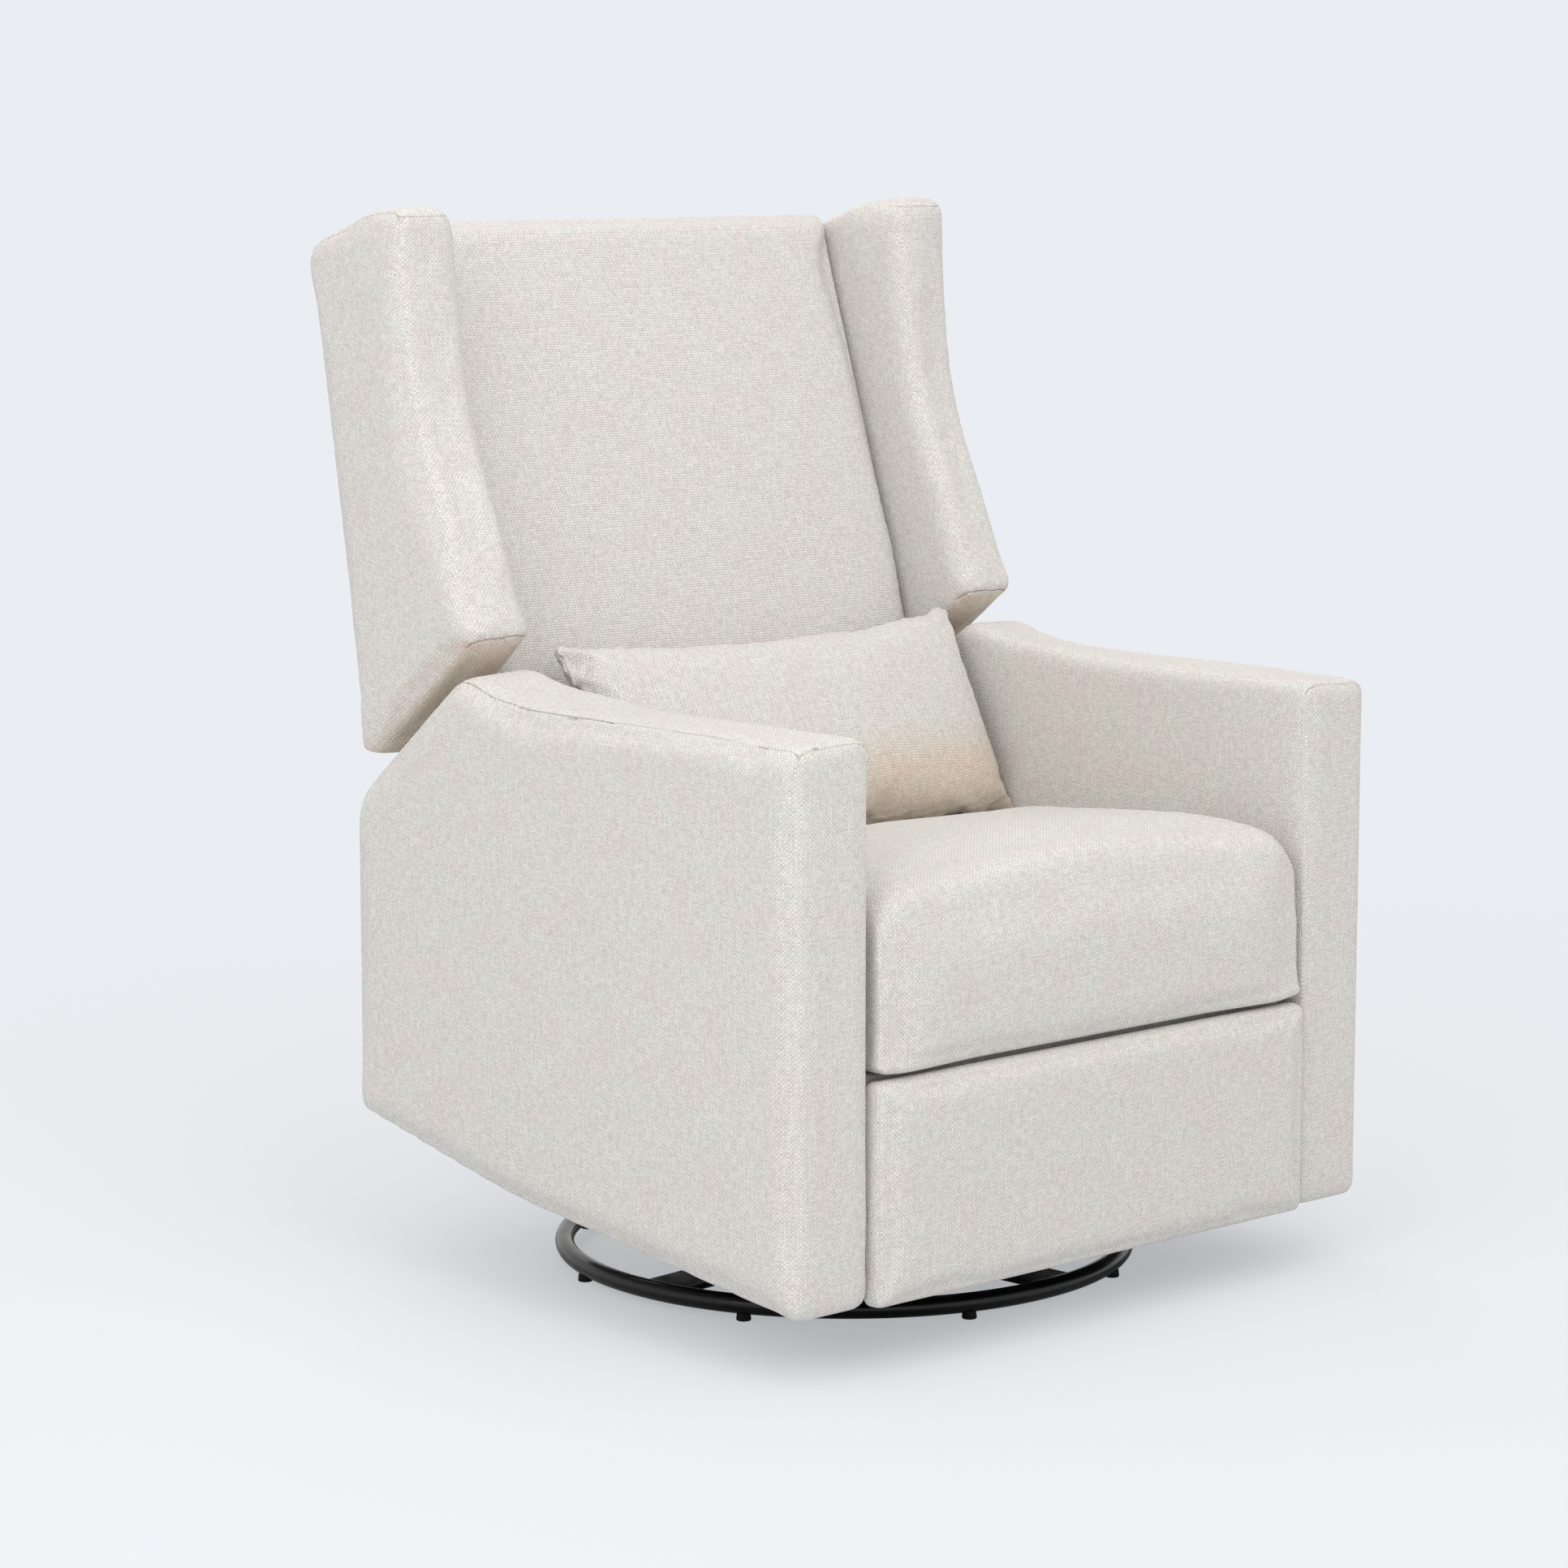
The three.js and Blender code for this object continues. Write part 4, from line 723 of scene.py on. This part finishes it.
def front_of(co, levels=140):
    """Where a cover's front lies, in y, at the height of each of its points."""
    heights = np.linspace(co[:, 2].min(), co[:, 2].max(), levels)
    step = heights[1] - heights[0]
    front = [co[np.abs(co[:, 2] - height) < step, 1].min() for height in heights]
    front = np.convolve(np.pad(front, 2, "edge"), np.ones(5) / 5, "valid")
    return np.interp(co[:, 2], heights, front)


def rounded_off(co, axes, corner, inward, size, weight=1.0):
    """Rounds a sharp edge of a cover, in the plane of two axes."""
    over = np.maximum(size - (co[:, axes] - corner) * inward, 0)
    reach = np.maximum(np.linalg.norm(over, axis=1), 1e-6)
    drawn = np.where(over.min(1) > 0, np.minimum(size / reach, 1), 1)
    co[:, axes] += inward * over * ((1 - drawn) * weight)[:, None]


# The lower edge is let out from the foam's round to the tight turn of the cover.
let_out = rounding * (rounded_in(SEAT_EDGE_ROUND, rise) - rounded_in(SEAT_FOOT_ROUND, rise))
level = outwards(seat)
level[:, 2] = 0
level /= np.maximum(np.linalg.norm(level, axis=1, keepdims=True), 1e-6)
co += level * let_out[:, None]
co[:, 2] -= SEAT_FOOT_SAG * (rounding & (co[:, 1] < seat_low.y + 0.06))
move_to(seat, co)
evened(seat, SEAT_MESH, rounds=8)
swell(seat, cap=0.012, slack=0.004,
      held=lambda co: between(co[:, 2], -1, seat_low.z + 0.009, 0.006))
softened(seat, SEAT_SOFT_ABOVE, SEAT_SOFT)

# Its flanks lie along the arms, with a tight upright edge at each end of the front.
co = places(seat)
co[:, 0] = np.clip(co[:, 0], -arm_inside + SEAT_PLAY, arm_inside - SEAT_PLAY)
co[:, 1] -= between(-co[:, 1], 0.30, 1, 0.12) * (
    SEAT_AHEAD + SEAT_SQUARE * between(np.abs(co[:, 0]), 0.20, 1, 0.12))
flank = np.abs(co[:, 0]) > arm_inside - SEAT_EDGE_ROUND - 0.012
edge = co[flank]
edge_front = front_of(edge, levels=36)
edge[:, 1] -= edge_front
for side in (1, -1):
    tightened(edge, (side * (arm_inside - SEAT_PLAY), 0), (-side, 1),
              SEAT_EDGE_ROUND, SEAT_TIGHT)
edge[:, 1] += edge_front
plain = between(edge[:, 2], -1, SEAT_TIGHT_BELOW, 0.04)[:, None]
co[flank] += (edge - co[flank]) * plain

# The crown keeps its fullness up to the arms, and sinks behind, under the pillow.
top = between(co[:, 2], SEAT_TOP, 1, 0.08)
beside = np.abs(co[:, 0]) / arm_inside
co[:, 2] += SEAT_SHOULDER * 2 * beside ** 4 * (1 - np.minimum(beside, 1) ** 10) * top
for side in (1, -1):
    rounded_off(co, [0, 2], (side * (arm_inside - SEAT_PLAY), co[:, 2].min()), (-side, 1),
                SEAT_CORNER, between(co[:, 1], -1, seat_low.y + 0.05, 0.06))
top = between(co[:, 2], SEAT_TOP, 1, 0.08)
co[:, 2] -= top * (SEAT_SETTLE + SEAT_DENT * between(co[:, 1], -0.02, 1, 0.12))
move_to(seat, co)
finer(seat)
finish_cover(seat, "chair", "seat_cushion")

# ---------------------------------------------------------------- front band
# A narrow band of the same cloth, drawn over a strip of wadding on the front seat rail,
# closes the gap between the cushion and the footrest.
BAND_AHEAD = 0.018
BAND_OVER = 0.006
BAND_PLAY = 0.008
BAND_ROUND = 0.003
rail_low, rail_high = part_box("front_seat_rail")
bpy.ops.object.select_all(action="DESELECT")
bpy.ops.mesh.primitive_cube_add(
    size=1, location=(0, rail_low.y - BAND_AHEAD / 2, rail_high.z),
    scale=(2 * (arm_inside - BAND_PLAY), BAND_AHEAD, 2 * BAND_OVER))
band = bpy.context.object
band.name = "front_rail_band"
bpy.ops.object.transform_apply(location=True, scale=True)
changed(band, "BEVEL", width=BAND_ROUND, segments=3)
evened(band, 0.003, rounds=1)
finish_cover(band, "chair", None)

# ---------------------------------------------------------------- footrest
# A thin pad over the footrest board, its cover wrapped round all four edges and stapled
# behind. It hangs flush with the fronts of the arms.
REST_PROUD = 0.0018
REST_AHEAD = 0.006
REST_LIP = 0.003              # how far the cover stands above the pad
REST_TACKS = 0.006
rest_low, rest_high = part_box("footrest_pad")
footrest = cover("footrest_pad", "footrest_cover")
evened(footrest, 0.0045)
swell(footrest, cap=0.005, held=lambda co: between(co[:, 1], rest_high.y - REST_TACKS, 1, 0.003))
fit(footrest, (rest_low.x - REST_PROUD, rest_low.y - REST_AHEAD, rest_low.z),
    (rest_high.x + REST_PROUD, rest_high.y, rest_high.z + REST_LIP))
finer(footrest)
finish_cover(footrest, "footrest", "footrest_pad")

# ---------------------------------------------------------------- arms
# Timber arm frames, padded and covered all round: one outer panel wraps round the front,
# and a top strip is sewn to it along the outer edge and across the front corner.
ARM_TWIST_OUT = 0.007         # the outer edge dips before the peak
ARM_TWIST_IN = 0.008          # the inner edge rises there
ARM_FRONT_DROP = 0.004
ARM_FRONT_TOP = 0.592
ARM_DIP_TOP = 0.588
ARM_DIP_AT = 0.025
ARM_PEAK_AT = 0.111
ARM_SEAM_IN = 0.0035
ARM_SEAM_DROP = 0.013
ARM_SEAM_END = 0.125
ARM_SEAM_DEPTH = 0.0009
ARM_PROUD = 0.008
ARM_AHEAD = 0.004
ARM_CORNER = 0.022
ARM_EDGE = 0.011
ARM_TIGHT = 0.003
arm_low, arm_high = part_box("arm_left")
arm_wide = arm_high.x - arm_low.x


def arm_top(y):
    """The height of the arm's upper edge, from its front corner to the peak."""
    return np.interp(y, (arm_low.y, ARM_DIP_AT, ARM_PEAK_AT),
                     (ARM_FRONT_TOP, ARM_DIP_TOP, arm_high.z))


def mirrored(piece, name):
    """The other side's cover, cut as the mirror image of this one."""
    other = bpy.data.objects.new(name, piece.data.copy())
    bpy.context.collection.objects.link(other)
    only(other)
    bpy.ops.object.mode_set(mode="EDIT")
    bpy.ops.mesh.select_all(action="SELECT")
    bpy.ops.transform.resize(value=(-1, 1, 1), center_override=(0, 0, 0))
    bpy.ops.mesh.normals_make_consistent(inside=False)
    bpy.ops.object.mode_set(mode="OBJECT")
    return other


arm = cover("arm_left", "arm_cover_left")
evened(arm, 0.0065)
swell(arm, cap=0.0055, held=lambda co: between(co[:, 0], -1, arm_low.x + 0.002, 0.001))
fit(arm, (arm_low.x, arm_low.y - ARM_AHEAD, arm_low.z),
    (arm_high.x + ARM_PROUD, arm_high.y, arm_high.z))
co = places(arm)
rounded_off(co, [0, 2], (arm_high.x + ARM_PROUD, arm_top(arm_low.y)), (-1, -1), ARM_CORNER,
            between(co[:, 1], -1, arm_low.y + 0.05, 0.08))
outer = np.clip((co[:, 0] - arm_low.x) / arm_wide, 0, 1)
upper = between(co[:, 2], arm_high.z - 0.07, 1, 0.05)
co[:, 2] += upper * (
    (1 - outer) * ARM_TWIST_IN * np.exp(-((co[:, 1] - 0.01) / 0.06) ** 2)
    - outer * ARM_TWIST_OUT * np.exp(-((co[:, 1] - 0.08) / 0.035) ** 2)
    - outer * ARM_FRONT_DROP * np.exp(-((co[:, 1] - arm_low.y) / 0.09) ** 2))
move_to(arm, co)
finer(arm)
move_to(arm, tightened(places(arm), (arm_low.x, arm_low.y - ARM_AHEAD), (1, 1),
                       ARM_EDGE, ARM_TIGHT))
arms = {1: arm, -1: mirrored(arm, "arm_cover_right")}
for side, piece in arms.items():
    outside = arm_high.x - ARM_SEAM_IN
    sew(piece, (side * outside, 0, 0), (1, 0, 0),
        lambda co: between(co[:, 2] - arm_top(co[:, 1]), -ARM_SEAM_DROP, 1, 0.004)
        * between(co[:, 1], arm_low.y - ARM_AHEAD, ARM_SEAM_END, 0.004),
        depth=ARM_SEAM_DEPTH, seed=3.0 + side)
    sew(piece, (0, arm_low.y + 0.004 - ARM_AHEAD, arm_high.z - 0.02), (0, 1, 0.15),
        lambda co: between(co[:, 2], arm_top(arm_low.y) - ARM_SEAM_DROP, 1, 0.006)
        * between(co[:, 0] * side, arm_low.x, outside + 0.001, 0.003),
        depth=ARM_SEAM_DEPTH, seed=5.0 + side)
    finish_cover(piece, "chair", "arm_left" if side > 0 else "arm_right")

# The panel between the arms behind the seat is the same cloth, stretched over a board and
# stapled round its edges.
panel = cover("rear_panel", "rear_panel_cover")
evened(panel, 0.005)
finish_cover(panel, "chair", "rear_panel")

# ---------------------------------------------------------------- back
# The inside back is a thick foam pad rolled over the top rail, and the outside back a thin
# pad below it. Both are stretched over the back frame and stapled to its rails.
LEAN = math.radians(9.3)
INSIDE_LEAN = math.radians(17)
back_low, back_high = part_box("back_cushion")
BACK_ROUND = 0.020
BACK_TIGHT = 0.006
BACK_PLAIN_BELOW = 0.10       # under the top, where its side edges turn tight

inside_back = cover("back_cushion", "inside_back_cover")
evened(inside_back, 0.0065, rounds=6)
swell(inside_back, cap=0.010, slack=0.002, draw=0.006, held=lambda co: between(
    co[:, 1] - back_low.y - (co[:, 2] - back_low.z) * math.tan(INSIDE_LEAN), 0.09, 1))
fit(inside_back, back_low, back_high)
co = places(inside_back)
front = front_of(co)
level = co.copy()
level[:, 1] -= front
for side in (1, -1):
    tightened(level, (side * back_high.x, 0), (-side, 1), BACK_ROUND, BACK_TIGHT)
level[:, 1] += front
plain = between(co[:, 2], -1, back_high.z - BACK_PLAIN_BELOW, 0.14)[:, None]
move_to(inside_back, co + (level - co) * plain)
finer(inside_back)
finish_cover(inside_back, "back", "back_cushion", INSIDE_LEAN, railroaded=True)

outside_back = cover("outside_back", "outside_back_cover")
evened(outside_back, 0.006)
finish_cover(outside_back, "back", "outside_back", LEAN)

# ---------------------------------------------------------------- wings
# Padded side wings, one on each side of the back: the outer panel is sewn to a strip over
# the top. Short seams cross the strip's front end, and the tip above the underside.
wing_low, wing_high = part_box("wing_left")
WING_SEAM_IN = 0.004
WING_SEAM_DROP = 0.014
WING_CROSS_DROP = 0.010
WING_CROSS_END = 0.242
WING_TIP_SEAM = 0.640
WING_PROUD = 0.006
WING_BEHIND = 0.003
WING_FULL = 0.012             # how far the stuffed front swells ahead
WING_ROLL = 0.024             # the soft inner front edge
WING_ROLL_ABOVE = 0.145
WING_CROWN = 0.034            # the round at the top of the inner face
WING_CORNER = 0.014           # and at the top of the outer face
WING_SOFT = 8
WING_SOFT_ABOVE = 0.15
WING_HEEL = 0.018             # the lower rear corner
WING_HEEL_TIGHT = 0.005
WING_RAKE = math.radians(16)
WING_FRONT_AT = 0.232
WING_BEND_AT = 0.284
WING_BEND_DROP = 0.005
WING_REAR_AT = 0.377
WING_REAR_TOP = 1.016


def wing_top(y):
    """The height of the wing's upper edge, from its front corner to the rear."""
    return np.interp(y, (WING_FRONT_AT, WING_BEND_AT, WING_REAR_AT),
                     (wing_high.z, wing_high.z - WING_BEND_DROP, WING_REAR_TOP))


wing = cover("wing_left", "wing_cover_left")
evened(wing, 0.0055, rounds=4)
swell(wing, cap=0.005, draw=0.004,
      held=lambda co: between(co[:, 0], -1, wing_low.x + 0.002, 0.001))
fit(wing, wing_low, (wing_high.x + WING_PROUD, wing_high.y + WING_BEHIND, wing_high.z))
co = places(wing)
behind = (co[:, 1] - front_of(co)) * math.cos(WING_RAKE)
inside = co[:, 0] - wing_low.x
over = np.maximum(WING_ROLL - behind, 0), np.maximum(WING_ROLL - inside, 0)
reach = np.maximum(np.hypot(*over), 1e-6)
drawn = np.where(np.minimum(*over) > 0, np.minimum(WING_ROLL / reach, 1), 1)
rolled = between(co[:, 2], wing_low.z + WING_ROLL_ABOVE, 2, 0.03) * (1 - drawn)
co[:, 1] += rolled * over[0] / math.cos(WING_RAKE)
co[:, 0] += rolled * over[1]
co[:, 1] -= WING_FULL * between(co[:, 2], 0.71, 2, 0.14) * np.exp(-(behind / 0.07) ** 2)
near_front = between(co[:, 1], -1, 0.29, 0.06)
rounded_off(co, [0, 2], (wing_low.x, wing_high.z), (1, -1), WING_CROWN, near_front)
rounded_off(co, [0, 2], (wing_high.x + WING_PROUD, wing_high.z), (-1, -1), WING_CORNER,
            near_front)
heel = np.stack((co[:, 1] - co[:, 2] * math.tan(LEAN), co[:, 2]), 1)
tightened(heel, (heel[:, 0].max() - 0.001, wing_low.z), (-1, 1), WING_HEEL, WING_HEEL_TIGHT)
co[:, 1] = heel[:, 0] + heel[:, 1] * math.tan(LEAN)
co[:, 2] = heel[:, 1]
move_to(wing, co)
softened(wing, wing_low.z + WING_SOFT_ABOVE, WING_SOFT)
finer(wing)
# Painted shade: the wing's downward-facing undersides are marked for the warm, darker tint
paint(wing, "painted_warm_shade", np.clip(-2.2 * outwards(wing)[:, 2] - 0.5, 0, 1))
wings = {1: wing, -1: mirrored(wing, "wing_cover_right")}
for side, piece in wings.items():
    outside = wing_high.x - WING_SEAM_IN
    sew(piece, (side * outside, 0, 0), (1, 0, 0),
        lambda co: between(co[:, 2] - wing_top(co[:, 1]), -WING_SEAM_DROP, 1, 0.004)
        * between(co[:, 1], wing_low.y, 1, 0.006),
        depth=0.0010, seed=7.0 + side)
    sew(piece, (0, 0, wing_high.z - WING_CROSS_DROP), (0, 0, 1),
        lambda co: between(co[:, 1], -1, WING_CROSS_END, 0.004)
        * between(co[:, 0] * side, wing_low.x, outside, 0.003),
        depth=0.0009, seed=8.0 + side)
    sew(piece, (0, wing_low.y + 0.006, WING_TIP_SEAM), (0, 0.46, 0.89),
        lambda co: between(co[:, 1], -1, wing_low.y + 0.02, 0.006),
        depth=0.0018, seed=9.0 + side)
    finish_cover(piece, "back", "wing_left" if side > 0 else "wing_right", LEAN)

# ---------------------------------------------------------------- lumbar pillow
# Two panels sewn together at a knife edge and stuffed, so the sides pull in between the
# pointed corners. It lies loose on the seat and leans on the back.
PILLOW_LEAN = math.radians(27)
PILLOW_FLAT = 0.42            # how thin it is before it is stuffed, as a share
PILLOW_FULL = 0.034
PILLOW_ABOVE = 0.107
PILLOW_BELOW = 0.126
PILLOW_HALF_DEPTH = 0.054
PILLOW_OUT = 0.013
PILLOW_FOOT = 0.020           # how far its lower edge hangs down at the middle
PILLOW_EAR = 0.013            # how blunt the upper corners are
# Painted shade: the pillow's lower part takes the warm, darker tint below this depth
PILLOW_PAINTED_SHADE_BELOW = 0.055
pillow_low, pillow_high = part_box("lumbar_pillow")
middle = np.array((pillow_low + pillow_high) / 2)
turn = np.array(((1, 0, 0), (0, math.cos(PILLOW_LEAN), -math.sin(PILLOW_LEAN)),
                 (0, math.sin(PILLOW_LEAN), math.cos(PILLOW_LEAN))))
pillow = cover("lumbar_pillow", "lumbar_pillow_cover")
evened(pillow, 0.0045)
move_to(pillow, (places(pillow) - middle) @ turn.T)
move_to(pillow, places(pillow) * (1, PILLOW_FLAT, 1))
swell(pillow, cap=PILLOW_FULL, draw=0.02, held=lambda co: np.zeros(len(co)))
pillow_left = pillow_high.x - middle[0] - 0.001
pillow_right = pillow_low.x - middle[0] - PILLOW_OUT
fit(pillow, (pillow_right, -PILLOW_HALF_DEPTH, -PILLOW_BELOW),
    (pillow_left, PILLOW_HALF_DEPTH, PILLOW_ABOVE))
co = places(pillow)
rounded_off(co, [0, 2], (pillow_left, PILLOW_ABOVE), (-1, -1), PILLOW_EAR)
rounded_off(co, [0, 2], (pillow_right, PILLOW_ABOVE), (1, -1), PILLOW_EAR)
half_width = (pillow_high.x - pillow_low.x) / 2
co[:, 2] -= (PILLOW_FOOT * np.clip(-co[:, 2] / PILLOW_BELOW, 0, 1) ** 2
             * np.clip(1 - (co[:, 0] / half_width) ** 4, 0, 1))
# Painted shade: the pillow's lower part is marked for the warm, darker tint
paint(pillow, "painted_warm_shade", between(-co[:, 2], PILLOW_PAINTED_SHADE_BELOW, 1, 0.06))
move_to(pillow, co @ turn + middle)
finer(pillow)
sew(pillow, middle, turn[1], lambda co: np.ones(len(co)), depth=-0.0012, draw=0.020,
    pucker=0.0022, seed=4.0)
finish_cover(pillow, "pillow", "lumbar_pillow", PILLOW_LEAN)
